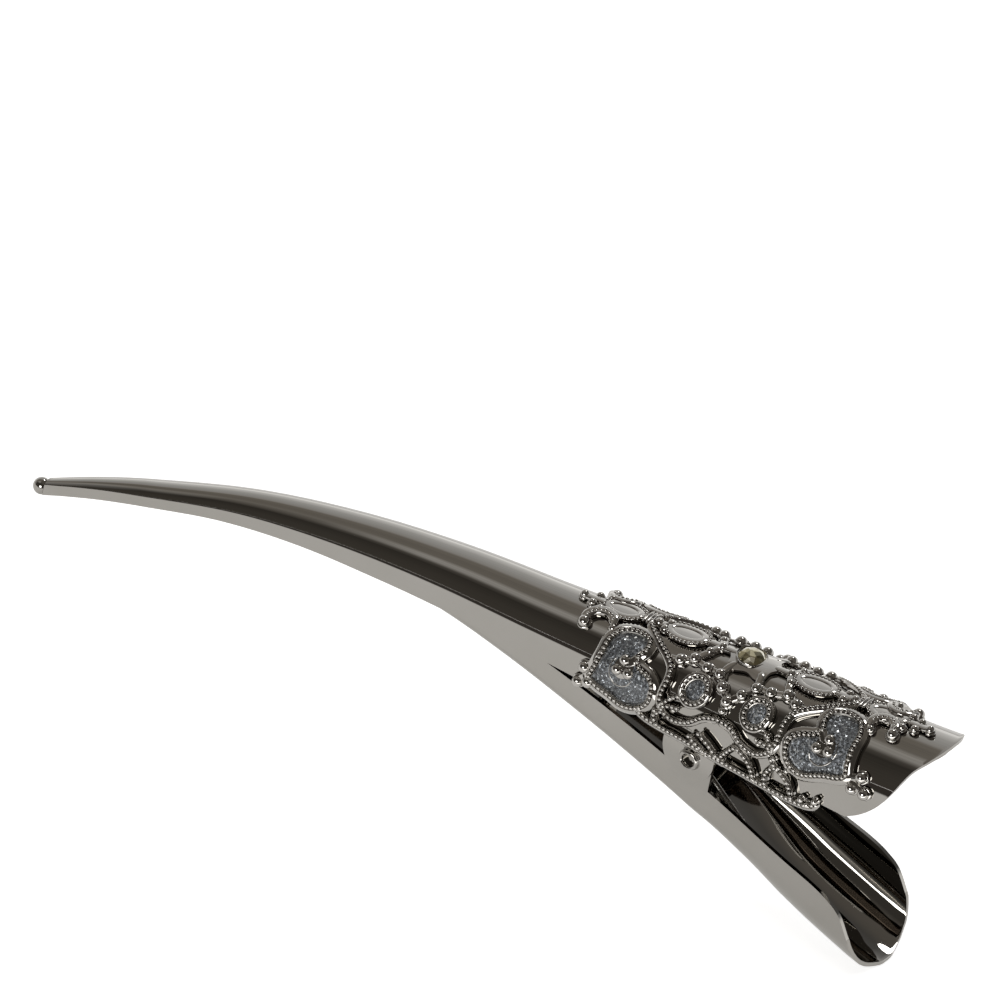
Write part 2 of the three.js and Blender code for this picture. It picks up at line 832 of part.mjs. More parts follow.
function ornament() {
  const pieces = [];
  const cup_middle = stone_radius + setting_gap + stone_cup_wall / 2;
  const neck_shares = [neck_start_shares, [cup_middle / ornament_half_length, 0]];
  for (const end of ends) {
    for (const shares of [ridge_bar_shares, ridge_link_shares, neck_shares]) {
      pieces.push(rail(mirrored(shares, end, 1)));
    }
    const far_scroll = mirrored(scroll_shares, end, -1).reverse().slice(1);
    pieces.push(rail([...mirrored(scroll_shares, end, 1), ...far_scroll]));
    pieces.push(rail(mirrored(ovalOutline(end_cell), end, 1), rail_radius, true));
    pieces.push(rail(mirrored(ovalOutline(mid_cell), end, 1), rail_radius, true));
    pieces.push(...mirrored(ridge_ball_shares, end, 1).map(ball));
    for (const side of sides) {
      const quarter = (shares) => mirrored(shares, end, side);
      const rails = [
        hook_shares,
        curl_shares,
        stone_arm_shares,
        cluster_arm_shares,
        cell_arm_shares,
        leaf_arm_shares,
        junction_arm_shares,
        island_arm_shares,
        outer_arm_shares,
      ];
      pieces.push(...rails.map((shares) => rail(quarter(shares))));
      const balls = [leaf_ball_shares, outer_ball_shares, side_ball_shares].flat();
      pieces.push(...quarter(balls).map(ball));
      const [centre] = quarter([leaf_centre_shares]);
      pieces.push(tray(quarter(leaf_outline_shares), centre), leafIsland(end, side, 0));
      const floor_top = floor_lift + floor_thickness;
      const [dot] = quarter([dot_centre_shares]);
      pieces.push(cup(dot, dot_cup_radius, dot_cup_wall));
      const [cluster] = quarter([outer_cluster_shares]);
      pieces.push(disc(cluster, cluster_radius, floor_lift, floor_top, dot_sides));
    }
  }
  for (const side of sides) {
    const half = (shares) => mirrored(shares, 1, side);
    const front_chain = mirrored(chain_shares, -1, 1).reverse().slice(1);
    pieces.push(ballChain(half([...chain_shares, ...front_chain])));
    const rails = [
      chain_drop_shares,
      border_shares,
      diagonal_shares,
      front_strut_shares,
      rear_strut_shares,
      rear_window_shares,
    ];
    pieces.push(...rails.map((shares) => rail(half(shares))));
    pieces.push(...half(lobe_ball_shares).map(ball));
  }
  pieces.push(cup([0, 0], stone_radius + setting_gap, stone_cup_wall));
  return joined(pieces);
}

function leafFill(end, side) {
  const outline = mirrored(leaf_outline_shares, end, side);
  const [centre] = mirrored([leaf_centre_shares], end, side);
  const arm = mirrored(island_arm_shares, end, side);
  const drawn_in = rim_width / 2 + setting_gap;
  const fill_top = fill_lift + fill_thickness;
  const rings = [
    halfWay(outline, centre, fill_lift),
    outlineRing(outline, fill_lift, drawn_in),
    outlineRing(outline, fill_top, drawn_in),
    halfWay(outline, centre, fill_top),
  ];
  return capped(overShell(...centre, fill_lift), rings, overShell(...centre, fill_top))
    .subtract(leafIsland(end, side, setting_gap))
    .subtract(rail(arm, rail_radius + setting_gap * Math.SQRT2));
}

function dotFill(end, side) {
  const [centre] = mirrored([dot_centre_shares], end, side);
  const radius = dot_cup_radius - setting_gap;
  return disc(centre, radius, fill_lift, fill_lift + fill_thickness, dot_sides);
}

// Faceted stone: a girdle with a flat table above it
function centreStone() {
  const table = stone_radius * stone_table_share;
  const profile = [
    new THREE.Vector2(0, 0),
    new THREE.Vector2(stone_radius, 0),
    new THREE.Vector2(stone_radius, stone_girdle_height),
    new THREE.Vector2(table, stone_height),
    new THREE.Vector2(0, stone_height),
  ];
  const geometry = new THREE.LatheGeometry(profile, stone_facets);
  return standOnShell(geometry, [0, 0], fill_lift);
}

const clip = new THREE.Group();
clip.name = "hair_clip";

function addPiece(name, geometry, material) {
  const mesh = new THREE.Mesh(geometry, material);
  mesh.name = name;
  clip.add(mesh);
}

addPiece("upper_jaw", toGeometry(upperJaw()), gunmetal);
addPiece("lower_jaw", toGeometry(lowerJaw()), gunmetal);
addPiece("pivot_pin", crossPin(), gunmetal);
addPiece("torsion_spring", spring(), spring_steel);
addPiece("filigree_plate", toGeometry(ornament()), cast_gunmetal);
addPiece("centre_stone", toGeometry(centreStone()), smoky_stone);
for (const end of ends) {
  for (const side of sides) {
    const place = `${end < 0 ? "front" : "rear"}_${side > 0 ? "left" : "right"}`;
    addPiece(`${place}_glitter_leaf`, toGeometry(leafFill(end, side)), glitter_enamel);
    addPiece(`${place}_glitter_dot`, toGeometry(dotFill(end, side)), glitter_enamel);
  }
}

// The origin is under the middle of the clip
clip.position.x = -(clip_length - bead_radius) / 2;

export default clip;
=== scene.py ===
# A long beak hair clip in dark mirror plating. A domed upper jaw and a channel-shaped lower jaw turn
# on a cross pin, and a cast openwork with glitter enamel and one faceted stone wraps the upper jaw.
# Sizes are in millimetres from the tip bead until a piece is finished, then in metres.
import math
import bpy
import bmesh
from mathutils import Matrix, Vector


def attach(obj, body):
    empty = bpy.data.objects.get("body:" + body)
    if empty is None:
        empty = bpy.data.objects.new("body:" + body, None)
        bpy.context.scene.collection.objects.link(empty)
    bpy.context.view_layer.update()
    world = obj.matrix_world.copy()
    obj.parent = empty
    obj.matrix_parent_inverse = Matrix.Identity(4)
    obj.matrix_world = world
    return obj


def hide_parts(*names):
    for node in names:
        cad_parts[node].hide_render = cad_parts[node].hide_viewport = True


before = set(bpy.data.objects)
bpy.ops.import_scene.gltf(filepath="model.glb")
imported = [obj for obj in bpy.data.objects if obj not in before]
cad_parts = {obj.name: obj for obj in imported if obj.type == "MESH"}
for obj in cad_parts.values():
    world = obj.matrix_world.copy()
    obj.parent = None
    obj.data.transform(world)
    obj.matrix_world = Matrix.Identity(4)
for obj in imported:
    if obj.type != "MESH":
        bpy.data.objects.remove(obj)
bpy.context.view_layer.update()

# Upper jaw
# One strip of 0.55 mm steel, pressed into a tapering half-round shell with straight sides, polished
# and plated with black nickel. The beak closes up towards the tip, where a bead keeps it from scratching.
SHEET = 0.55
CLIP_LENGTH = 132.3
TIP_TO_MIDDLE = 65.6
UPPER_RIDGE = [(0, 2.1), (7.5, 6.4), (15, 10.19), (30, 16.77), (45, 21.4), (60, 24.56), (75, 26.65),
               (90, 28.81), (110, 31.35), (125, 33.2), (132.3, 34.3), (137.6, 35.2)]
UPPER_HALF_WIDTH = [(0, 0.75), (3, 1.1), (7.5, 1.5), (15, 2.1), (30, 2.96), (45, 3.85), (60, 4.65),
                    (75, 5.4), (90, 6.2), (110, 7.15), (132.3, 7.6), (137.6, 7.66)]
UPPER_CROWN = [(0, 0), (84, 0), (93, 0.2), (103, 0.35), (115, 0.45), (137.6, 0.5)]
UPPER_EDGE = [(-2.6, -0.9), (0, 0.1), (4.5, 2.5), (10.3, 5.35), (16.2, 7.9), (27.8, 12.4),
              (39.7, 15.5), (52, 17.4), (62, 18.5), (77.2, 19.6), (87.3, 20.2), (101.4, 21.15),
              (110.7, 21.7), (123.3, 22.3), (132.3, 22.8)]
RIM_END = [(0, 132.3), (1, 132.25), (2.5, 131.9), (4.15, 131.1), (5.8, 130.05), (7.5, 129.35),
           (9.0, 128.75), (10.75, 127.8), (12.4, 126.5), (13.8, 125.0), (15.0, 123.2)]
RIM_SWEEP_START = 95
BEAK_HOLLOW = (4.5, 8.0)
JAW_START = 1.4
BEAD_PLACE, BEAD_RADIUS = (0.6, 0, 1.36), 1.12


def smooth(table, x):
    """The height at x of a smooth curve through the table's places."""
    i = min(max(sum(place <= x for place, _ in table) - 1, 0), len(table) - 2)
    (x0, y0), (x1, y1) = table[i], table[i + 1]
    before, after = table[max(i - 1, 0)], table[min(i + 2, len(table) - 1)]
    m0 = (y1 - before[1]) / (x1 - before[0]) * (x1 - x0)
    m1 = (after[1] - y0) / (after[0] - x0) * (x1 - x0)
    u = (x - x0) / (x1 - x0)
    return ((2 * u**3 - 3 * u**2 + 1) * y0 + (u**3 - 2 * u**2 + u) * m0
            + (3 * u**2 - 2 * u**3) * y1 + (u**3 - u**2) * m1)


def ease(x, low, high):
    """0 up to low, 1 from high on, and smooth between them."""
    u = min(max((x - low) / (high - low), 0.0), 1.0)
    return u * u * (3 - 2 * u)


def on_shell(x, arc, lift=0.0):
    """The place at x along the clip and arc down its side from the ridge, lifted off the shell."""
    wide = smooth(UPPER_HALF_WIDTH, x)
    quarter = wide * math.pi / 2
    angle = min(abs(arc), quarter) / wide
    drop = max(abs(arc) - quarter, 0.0)
    radius = wide + lift
    tall = radius + smooth(UPPER_CROWN, x)
    y = -math.copysign(radius * math.sin(angle), arc)
    return Vector((x, y, smooth(UPPER_RIDGE, x) - wide + tall * math.cos(angle) - drop))


def upper_reach(x):
    """The arc from the ridge to the jaw's lower edge."""
    wide = smooth(UPPER_HALF_WIDTH, x)
    return wide * math.pi / 2 + smooth(UPPER_RIDGE, x) - wide - smooth(UPPER_EDGE, x)


def upper_place(s, t):
    """x and arc of a point of the net over the upper jaw, s along it and t across it."""
    across = 2 * t - 1
    rim_x = smooth(RIM_END, abs(across) * RIM_END[-1][0])
    x = JAW_START + s * (CLIP_LENGTH - JAW_START)
    x += (rim_x - CLIP_LENGTH) * max((x - RIM_SWEEP_START) / (CLIP_LENGTH - RIM_SWEEP_START), 0.0) ** 1.5
    return x, across * upper_reach(x)


def upper_outside(s, t):
    return on_shell(*upper_place(s, t))


def upper_inside(s, t):
    x, arc = upper_place(s, t)
    place = on_shell(x, arc, -SHEET)
    edge = smooth(UPPER_EDGE, x)
    place.z = edge + (place.z - edge) * ease(x, *BEAK_HOLLOW)
    return place


def net(bm, columns, rows, at):
    """A net of faces whose points lie where at(s, t) says, s and t running from 0 to 1."""
    made = bmesh.ops.create_grid(bm, x_segments=columns, y_segments=rows, size=0.5)["verts"]
    for vert in made:
        vert.co = at(vert.co.x + 0.5, vert.co.y + 0.5)


def close_up(bm, gap):
    """Points merged, holes filled and normals turned outwards."""
    bmesh.ops.remove_doubles(bm, verts=bm.verts, dist=gap)
    bmesh.ops.holes_fill(bm, edges=[e for e in bm.edges if e.is_boundary])
    bmesh.ops.recalc_face_normals(bm, faces=bm.faces)


def break_edges(bm, width, least=60):
    """A small bevel on every edge sharper than least degrees."""
    sharp = [e for e in bm.edges if e.is_manifold and e.calc_face_angle() > math.radians(least)]
    bmesh.ops.bevel(bm, geom=sharp, offset=width, offset_type="OFFSET", affect="EDGES", segments=2,
                    profile=0.5, material=-1, clamp_overlap=True)


def sheet_metal(bm, columns, rows, outside, inside, shaded_inside=0.0):
    """An outer and an inner net, joined all round by the sheet's edge. The inner one is marked for the given
    share of painted shade.
    """
    inner_side = bm.faces.layers.float.new("shaded_inside")
    net(bm, columns, rows, outside)
    outer_faces = set(bm.faces)
    net(bm, columns, rows, inside)
    for face in bm.faces:
        face[inner_side] = 0.0 if face in outer_faces else shaded_inside
    bmesh.ops.bridge_loops(bm, edges=[e for e in bm.edges if e.is_boundary])
    bmesh.ops.recalc_face_normals(bm, faces=bm.faces)
    break_edges(bm, 0.07)


def add_part(bm, part):
    """A finished part's faces added to bm."""
    spare = bpy.data.meshes.new("spare")
    part.to_mesh(spare)
    part.free()
    bm.from_mesh(spare)
    bpy.data.meshes.remove(spare)


def finished(bm, name, body, finish, smooth_to=38):
    """The bmesh as a piece at its place in the clip, smooth but for edges sharper than smooth_to degrees."""
    bmesh.ops.translate(bm, verts=bm.verts, vec=(-TIP_TO_MIDDLE, 0, 0))
    bmesh.ops.scale(bm, verts=bm.verts, vec=(0.001, 0.001, 0.001))
    mesh = bpy.data.meshes.new(name)
    bm.to_mesh(mesh)
    bm.free()
    mesh.shade_smooth()
    mesh.set_sharp_from_angle(angle=math.radians(smooth_to))
    mesh.materials.append(finish)
    piece = bpy.data.objects.new(name, mesh)
    bpy.context.scene.collection.objects.link(piece)
    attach(piece, body)
    return piece


def srgb(code):
    """A hex colour as linear red, green, blue and alpha."""
    parts = [int(code[i:i + 2], 16) / 255 for i in (1, 3, 5)]
    return [c / 12.92 if c <= 0.04045 else ((c + 0.055) / 1.055) ** 2.4 for c in parts] + [1.0]


def add(tree, kind, links=None, **settings):
    """A node with its settings, and for each input either the socket that feeds it or its value."""
    made = tree.nodes.new(kind)
    for name, value in settings.items():
        setattr(made, name, value)
    for socket, source in (links or {}).items():
        if isinstance(source, bpy.types.NodeSocket):
            tree.links.new(source, made.inputs[socket])
        else:
            made.inputs[socket].default_value = source
    return made


def new_finish(name):
    finish = bpy.data.materials.new(name)
    finish.use_nodes = True
    finish.node_tree.nodes.clear()
    return finish, finish.node_tree


def ramp(tree, factor, stops):
    """A colour ramp through the stops, each a position and a colour."""
    made = add(tree, "ShaderNodeValToRGB", {"Fac": factor})
    while len(made.color_ramp.elements) < len(stops):
        made.color_ramp.elements.new(0.5)
    for element, (position, colour) in zip(made.color_ramp.elements, stops):
        element.position = position
        element.color = colour
    return made.outputs["Color"]


PER_MM = 1000
# The dark brown for the inside of a pressing is painted shade; that inside is also a little rougher.
INSIDE_SHADE_COLOUR, DULL_BLUR = "#4c443c", 0.05


def black_nickel(name, light, dark, rough, polish_waves):
    """Black nickel plating over polished metal: a grey mirror with clouds from handling about 11 mm
    wide, waves left by polishing about 6 mm long, and hairline scratches about half a millimetre apart,
    seen only as a soft glint. Faces marked on the inside of a pressing get a dark brown that is painted
    shade, and a rougher finish."""
    finish, tree = new_finish(name)
    place = add(tree, "ShaderNodeTexCoord").outputs["Object"]
    clouds = add(tree, "ShaderNodeTexNoise", {"Vector": place, "Scale": 0.09 * PER_MM,
                                              "Detail": 4.0}).outputs["Fac"]
    tone = ramp(tree, clouds, [(0.3, srgb(dark)), (0.7, srgb(light))])
    haze = add(tree, "ShaderNodeMapRange", {"Value": clouds, "From Min": 0.35, "From Max": 0.75,
                                            "To Min": rough, "To Max": rough * 1.5})
    # Faces marked on the inside of a pressing turn dark brown: painted shade.
    shaded_inside = add(tree, "ShaderNodeAttribute", attribute_name="shaded_inside").outputs["Fac"]
    tone = add(tree, "ShaderNodeMix", {"Factor": shaded_inside, "A": tone, "B": srgb(INSIDE_SHADE_COLOUR)}, data_type="RGBA")
    blur = add(tree, "ShaderNodeMath", {0: shaded_inside, 1: DULL_BLUR, 2: haze.outputs["Result"]},
               operation="MULTIPLY_ADD")
    stretched = add(tree, "ShaderNodeMapping", {
        "Vector": place, "Scale": (0.06 * PER_MM, 2.2 * PER_MM, 2.2 * PER_MM)})
    lines = add(tree, "ShaderNodeTexNoise", {"Vector": stretched.outputs["Vector"], "Scale": 1.0,
                                             "Detail": 2.0})
    waves = add(tree, "ShaderNodeTexNoise", {"Vector": place, "Scale": 0.16 * PER_MM, "Detail": 1.0})
    low = add(tree, "ShaderNodeBump", {"Height": waves.outputs["Fac"], "Strength": polish_waves,
                                       "Distance": 0.0004})
    fine = add(tree, "ShaderNodeBump", {"Height": lines.outputs["Fac"], "Strength": 0.025,
                                        "Distance": 0.00002, "Normal": low.outputs["Normal"]})
    shader = add(tree, "ShaderNodeBsdfPrincipled", {
        "Base Color": tone.outputs["Result"], "Metallic": 1.0, "Roughness": blur.outputs[0],
        "Normal": fine.outputs["Normal"]})
    add(tree, "ShaderNodeOutputMaterial", {"Surface": shader.outputs["BSDF"]})
    return finish


plated_sheet = black_nickel("black_nickel_plated_sheet", "#a6a39e", "#a19e98", 0.03, 0.015)

upper = bmesh.new()
# The upper jaw's inner faces get the full painted shade.
sheet_metal(upper, 260, 96, upper_outside, upper_inside, shaded_inside=1.0)
upper_jaw = finished(upper, "upper_jaw_shell", "upper_half", plated_sheet)

bead = bmesh.new()
bmesh.ops.create_uvsphere(bead, u_segments=40, v_segments=24, radius=BEAD_RADIUS,
                          matrix=Matrix.Translation(BEAD_PLACE))
finished(bead, "tip_bead", "upper_half", plated_sheet)

# Lugs
# Two round-ended ears of the upper jaw's own sheet, hanging outside the lower jaw's walls. A raised
# eyelet is pressed up round the pin's hole in each of them.
PIN_X, PIN_Z = 100.42, 18.11
LUG_X, LUG_Z, LUG_RADIUS = 99.92, 18.71, 3.9
LUG_ROOT = 22.2


def tab(bm, x, z, radius, far_z, outer_y, side):
    """A round-ended sheet tab on one side of the clip, its straight end at far_z."""
    part = bmesh.new()
    upended = Matrix.Translation((x, 0, z)) @ Matrix.Rotation(math.pi / 2, 4, "X")
    made = bmesh.ops.create_circle(part, cap_ends=True, segments=72, radius=radius, matrix=upended)
    for vert in made["verts"]:
        if (vert.co.z - z) * (far_z - z) > 0:
            vert.co.z = far_z
    pushed = bmesh.ops.extrude_face_region(part, geom=part.faces[:])["geom"]
    inner = {v for v in pushed if isinstance(v, bmesh.types.BMVert)}
    for vert in part.verts:
        vert.co.y = side * (outer_y(vert.co.x) - (SHEET if vert in inner else 0))
    bmesh.ops.remove_doubles(part, verts=part.verts, dist=0.0005)
    bmesh.ops.recalc_face_normals(part, faces=part.faces)
    break_edges(part, 0.08)
    add_part(bm, part)


lugs = bmesh.new()
for side in (-1, 1):
    tab(lugs, LUG_X, LUG_Z, LUG_RADIUS, LUG_ROOT, lambda x: smooth(UPPER_HALF_WIDTH, x), side)
finished(lugs, "lugs", "upper_half", plated_sheet)


def spun(bm, profile, where, steps=36):
    """A profile of (radius, height) points spun round the z of a frame."""
    part = bmesh.new()
    points = [part.verts.new((radius, 0, height)) for radius, height in profile]
    edges = [part.edges.new(pair) for pair in zip(points, points[1:])]
    bmesh.ops.spin(part, geom=points + edges, cent=(0, 0, 0), axis=(0, 0, 1), dvec=(0, 0, 0),
                   angle=2 * math.pi, steps=steps, use_merge=True)
    bmesh.ops.remove_doubles(part, verts=part.verts, dist=0.0005)
    bmesh.ops.recalc_face_normals(part, faces=part.faces)
    bmesh.ops.transform(part, matrix=where, verts=part.verts)
    add_part(bm, part)


def side_frame(side):
    """A frame on the lug at the pin, its z pointing out of the clip's side."""
    face = smooth(UPPER_HALF_WIDTH, PIN_X)
    return Matrix.Translation((PIN_X, side * face, PIN_Z)) @ Matrix.Rotation(-side * math.pi / 2, 4, "X")


EYELET = [(0.86, -0.3), (0.86, 0.5), (0.91, 0.64), (1.02, 0.72), (1.16, 0.7), (1.29, 0.6), (1.38, 0.42),
          (1.44, 0.16), (1.54, 0.03), (1.64, -0.05), (1.64, -0.3), (0.86, -0.3)]
eyelets = bmesh.new()
for side in (-1, 1):
    spun(eyelets, EYELET, side_frame(side), steps=56)
finished(eyelets, "pin_eyelets", "upper_half", plated_sheet)
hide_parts("upper_jaw")

# Cross pin
# A plated steel rod, pushed through both jaws and the spring. Its round ends lie just inside the
# eyelets. It is drawn as two halves that overlap a little in the middle.
PIN_RADIUS = 0.8
pin = bmesh.new()
dome = [(PIN_RADIUS * math.sin(k * math.pi / 20), 0.6 * PIN_RADIUS * math.cos(k * math.pi / 20) - 0.42)
        for k in range(11)]
for side in (-1, 1):
    face = smooth(UPPER_HALF_WIDTH, PIN_X)
    spun(pin, dome + [(PIN_RADIUS, -face - 0.4), (0, -face - 0.4)], side_frame(side), steps=40)
plated_pin = black_nickel("black_nickel_plated_pin", "#a09d97", "#95928c", 0.08, 0.0)
cross_pin = finished(pin, "cross_pin", "upper_half", plated_pin)
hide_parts("pivot_pin")

# Lower jaw
# A second strip of the same plated sheet, pressed into a channel whose floor is a little hollow. In
# front it lies nested in the upper jaw, and behind the pin it widens into the lever that the thumb presses.
NEST = SHEET + 0.3
LEVER_HALF_WIDTH = 6.95
FLOOR_TILT = [(0, 9), (100, 9), (114, 20), (133, 20)]
BEND = [(0, 1.7), (100, 1.7), (114, 5.0), (133, 5.0)]
LOWER_FLOOR = [(8, 4.6), (15, 7.61), (30, 13.0), (45, 16.1), (55, 16.9), (60.5, 16.85), (66.9, 16.3),
               (76.5, 14.9), (89.6, 12.3), (102.8, 8.8), (109, 6.1), (116, 2.95), (126, -0.2), (130, -1.0),
               (133, -1.6)]
WALL_TOP = [(8, 5.49), (15, 8.92), (30, 14.6), (45, 17.97), (55, 19.14), (60.5, 19.45), (66.9, 19.59),
            (76.5, 19.0), (89.6, 17.08), (102.8, 14.3), (116, 10.9), (120.5, 9.76), (122.9, 8.81),
            (124.9, 7.44), (126.84, 4.44), (130, -0.4)]
LEVER_END = [(0, 129.2), (1.1, 129.2), (2.1, 129.12), (3.1, 128.92), (4.3, 128.68), (5.4, 128.44),
             (6.4, 128.14), (7.4, 127.88), (8.2, 127.48), (9.1, 126.86)]
TONGUE_HOLLOW = (19.0, 25.0)
LOWER_START, LEVER_TIP = 8.0, 129.2
LEVER_SWEEP_START = 105
FLARE_START, FLARE_END = 104.5, 123
TROUGH_START, TROUGH_END = 100, 114


def lower_section(x):
    """Half width, floor's tilt, bend radius, radius of the hollow floor and height of the underside."""
    wide = smooth(UPPER_HALF_WIDTH, x) - NEST
    wide += (LEVER_HALF_WIDTH - wide) * ease(x, FLARE_START, FLARE_END)
    tilt = math.radians(smooth(FLOOR_TILT, x))
    bend = min(smooth(BEND, x), (0.6 + 0.2 * ease(x, TROUGH_START, TROUGH_END)) * wide)
    hollow = (wide - bend * (1 - math.sin(tilt))) / math.sin(tilt)
    return wide, tilt, bend, hollow, smooth(LOWER_FLOOR, x)


def lower_reach(x):
    """The way across the sheet from the middle of the floor to the top of a wall."""
    wide, tilt, bend, hollow, floor = lower_section(x)
    rise = (hollow - bend) * (1 - math.cos(tilt)) + bend
    return hollow * tilt + bend * (math.pi / 2 - tilt) + smooth(WALL_TOP, x) - floor - rise


def in_channel(x, reach, depth):
    """The place at x and reach across the sheet from the middle of the floor, sunk by depth into it."""
    wide, tilt, bend, hollow, floor = lower_section(x)
    flat, curve = hollow * tilt, bend * (math.pi / 2 - tilt)
    u = abs(reach)
    turned = min(u, flat) / hollow
    y = (hollow - bend) * math.sin(turned)
    z = floor + hollow - (hollow - bend) * math.cos(turned)
    turned += min(max(u - flat, 0.0), curve) / bend
    y += (bend - depth) * math.sin(turned)
    z += max(u - flat - curve, 0.0) - (bend - depth) * math.cos(turned)
    return Vector((x, -math.copysign(y, reach), z))


def lower_place(s, t):
    """x and reach of a point of the net over the lower jaw, s along it and t across it."""
    across = 2 * t - 1
    end = smooth(LEVER_END, abs(across) * LEVER_END[-1][0])
    x = LOWER_START + s * (LEVER_TIP - LOWER_START)
    x += (end - LEVER_TIP) * max((x - LEVER_SWEEP_START) / (LEVER_TIP - LEVER_SWEEP_START), 0.0) ** 1.5
    return x, across * lower_reach(x)


def lower_outside(s, t):
    return in_channel(*lower_place(s, t), 0.0)


def lower_inside(s, t):
    x, reach = lower_place(s, t)
    place = in_channel(x, reach, min(SHEET, lower_section(x)[2] * 0.9))
    top = smooth(WALL_TOP, x)
    place.z = top + (place.z - top) * ease(x, *TONGUE_HOLLOW)
    return place


lower = bmesh.new()
sheet_metal(lower, 260, 96, lower_outside, lower_inside)
lower_jaw = finished(lower, "lower_jaw_channel", "lower_half", plated_sheet)
ears = bmesh.new()
for side in (-1, 1):
    tab(ears, PIN_X, PIN_Z, 2.9, 13.6, lambda x: lower_section(x)[0] + 0.01, side)
finished(ears, "lower_jaw_ears", "lower_half", plated_sheet)
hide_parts("lower_jaw")

# Torsion spring
# Drawn steel wire wound round the pin, with one straight leg against the roof of the upper jaw and
# one against the floor of the lever. The lower leg is a piece of its own that turns with the lever,
# and its first part lies in the coil's own line.
WIRE = 0.42
COIL = 2.3
HALF_COIL = 3.25


def wire(bm, points, sides=12):
    """A round wire along points, closed at both ends."""
    def round_wire(s, t):
        i = min(round(s * (len(points) - 1)), len(points) - 1)
        ahead = points[min(i + 1, len(points) - 1)] - points[max(i - 1, 0)]
        across = ahead.cross(Vector((0, 1, 0))).normalized()
        up = across.cross(ahead).normalized()
        angle = 2 * math.pi * t
        return points[i] + WIRE * (across * math.cos(angle) + up * math.sin(angle))
    net(bm, len(points) - 1, sides, round_wire)
    close_up(bm, 0.001)


def coil_point(angle, y):
    return Vector((PIN_X + COIL * math.cos(angle), y, PIN_Z + COIL * math.sin(angle)))


upper_seat = Vector((PIN_X + 9.5, HALF_COIL, 28.7))
lower_seat = Vector((PIN_X + 7.5, -HALF_COIL, 9.94))
COIL_STEPS, OVERLAP = 200, 12
start = -math.radians(121.0)
sweep = math.radians(1550.0)
turns = [coil_point(start - sweep * i / COIL_STEPS, HALF_COIL * (2 * i / COIL_STEPS - 1))
         for i in range(COIL_STEPS + 1)]
coil = bmesh.new()
wire(coil, turns + [turns[-1].lerp(upper_seat, 0.5), upper_seat])
spring_wire = black_nickel("drawn_spring_wire", "#8f8d88", "#807e79", 0.22, 0.0)
spring_coil = finished(coil, "spring_coil", "upper_half", spring_wire)
leg = bmesh.new()
wire(leg, [lower_seat, lower_seat.lerp(turns[0], 0.5)] + turns[:OVERLAP])
finished(leg, "spring_lower_leg", "lower_half", spring_wire)
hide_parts("torsion_spring")

# Openwork
# One casting in soft alloy, bent over the rear half of the upper jaw and plated with it. Smooth rails
# carry a milled line of tiny grains beside their middle, and larger balls sit where the rails meet.
# It is alike in front of and behind its centre, and on both sides of the ridge. Places on it are
# pairs of mm: along the clip from its centre, and down the side from the ridge.
CENTRE = 103.3
RAIL_LOW, RAIL_TOP = 0.15, 0.88
GRAIN_PITCH, GRAIN = 0.65, 0.29
SCROLL = [(0, 8.8), (2, 9.2), (4, 10.5), (6, 11.0), (7.8, 10.3), (8.6, 9.2), (8.75, 8), (8.6, 6.6),
          (9.0, 5.2), (10.4, 4.0), (12.4, 2.8), (14.2, 1.6), (15.2, 0.5)]
FRONT_LEAF = [(12.9, 4.4), (13.2, 3.1), (15.2, 2.5), (17.3, 2.9), (18.3, 4.2), (18.4, 6.2), (18.7, 8.0),
              (19.1, 9.6), (17.9, 10.5), (16.0, 11.1), (13.6, 11.9), (11.4, 11.4), (10.0, 9.9),
              (10.0, 8.0), (11.2, 6.9), (12.8, 6.3), (13.4, 5.4)]
REAR_LEAF = [(12.9, 4.4), (13.2, 3.0), (15.2, 2.4), (17.3, 2.9), (18.3, 4.4), (18.4, 6.2), (18.7, 8.0),
             (19.0, 9.3), (17.8, 9.9), (16.2, 10.2), (13.1, 11.1), (11.2, 10.6), (10.0, 9.2),
             (10.0, 7.6), (11.2, 6.7), (12.8, 6.2), (13.4, 5.4)]
LEAF_HEART = (15.3, 7.3)
FRONT_HOOK = [(19.0, 3.0), (19.5, 2.0), (20.8, 1.5), (22.1, 1.8), (22.8, 2.7), (22.7, 3.6)]
REAR_HOOK = [(18.5, 2.9), (18.3, 2.0), (18.9, 1.2), (20.1, 0.9), (21.3, 1.6), (21.7, 2.8)]
FRONT_CORNER = [(20.0, 8.7), (20.5, 11.0), (19.1, 10.6)]
REAR_CORNER = [(21.0, 8.8), (20.2, 10.4), (22.0, 10.5)]
CHAIN = [(10.3, 4.1), (8.4, 3.9), (6.8, 3.2), (4.7, 3.7), (2.65, 3.85), (1.45, 5.2), (0, 6.5), (0, 7.6)]
BORDER = [(-11.6, 11.6), (-10, 12.3), (-8, 12.7), (-4.8, 13.1), (-2.5, 13.5), (0, 13.8), (2.2, 14.1),
          (5.3, 14.5), (8.4, 14.95), (11.5, 15.3), (14.1, 15.4), (15.5, 15.0), (15.9, 14.2)]
SINGLE_RAILS = [
    [(-2.1, 11.3), (-0.6, 12.2), (0.9, 13.4)],
    [(-3.4, 12.2), (-1.9, 13.0), (-0.4, 13.9)],
    [(1.4, 13.6), (2.3, 12.2), (3.3, 11.2), (4.5, 11.6), (5.9, 12.9), (6.8, 14.6)],
    [(8.2, 10.3), (9.3, 11.4), (10.6, 12.2), (11.7, 13.3), (12.4, 14.9)],
    [(8.4, 14.4), (8.2, 13.2), (8.8, 12.0), (9.9, 11.4)],
    [(-8.0, 10.4), (-8.9, 11.3), (-8.2, 12.4)],
]
QUARTER_RAILS = [
    [(5.9, 9.2), (7.0, 9.3), (8.4, 9.8)],
    [(6.3, 7.9), (7.2, 8.5), (8.4, 9.6)],
]
ARMS = [
    [(1.8, 1.6), (2.3, 2.6), (2.6, 3.8)],
    [(5.2, 0.2), (5.8, 1.5), (6.6, 3.0)],
]
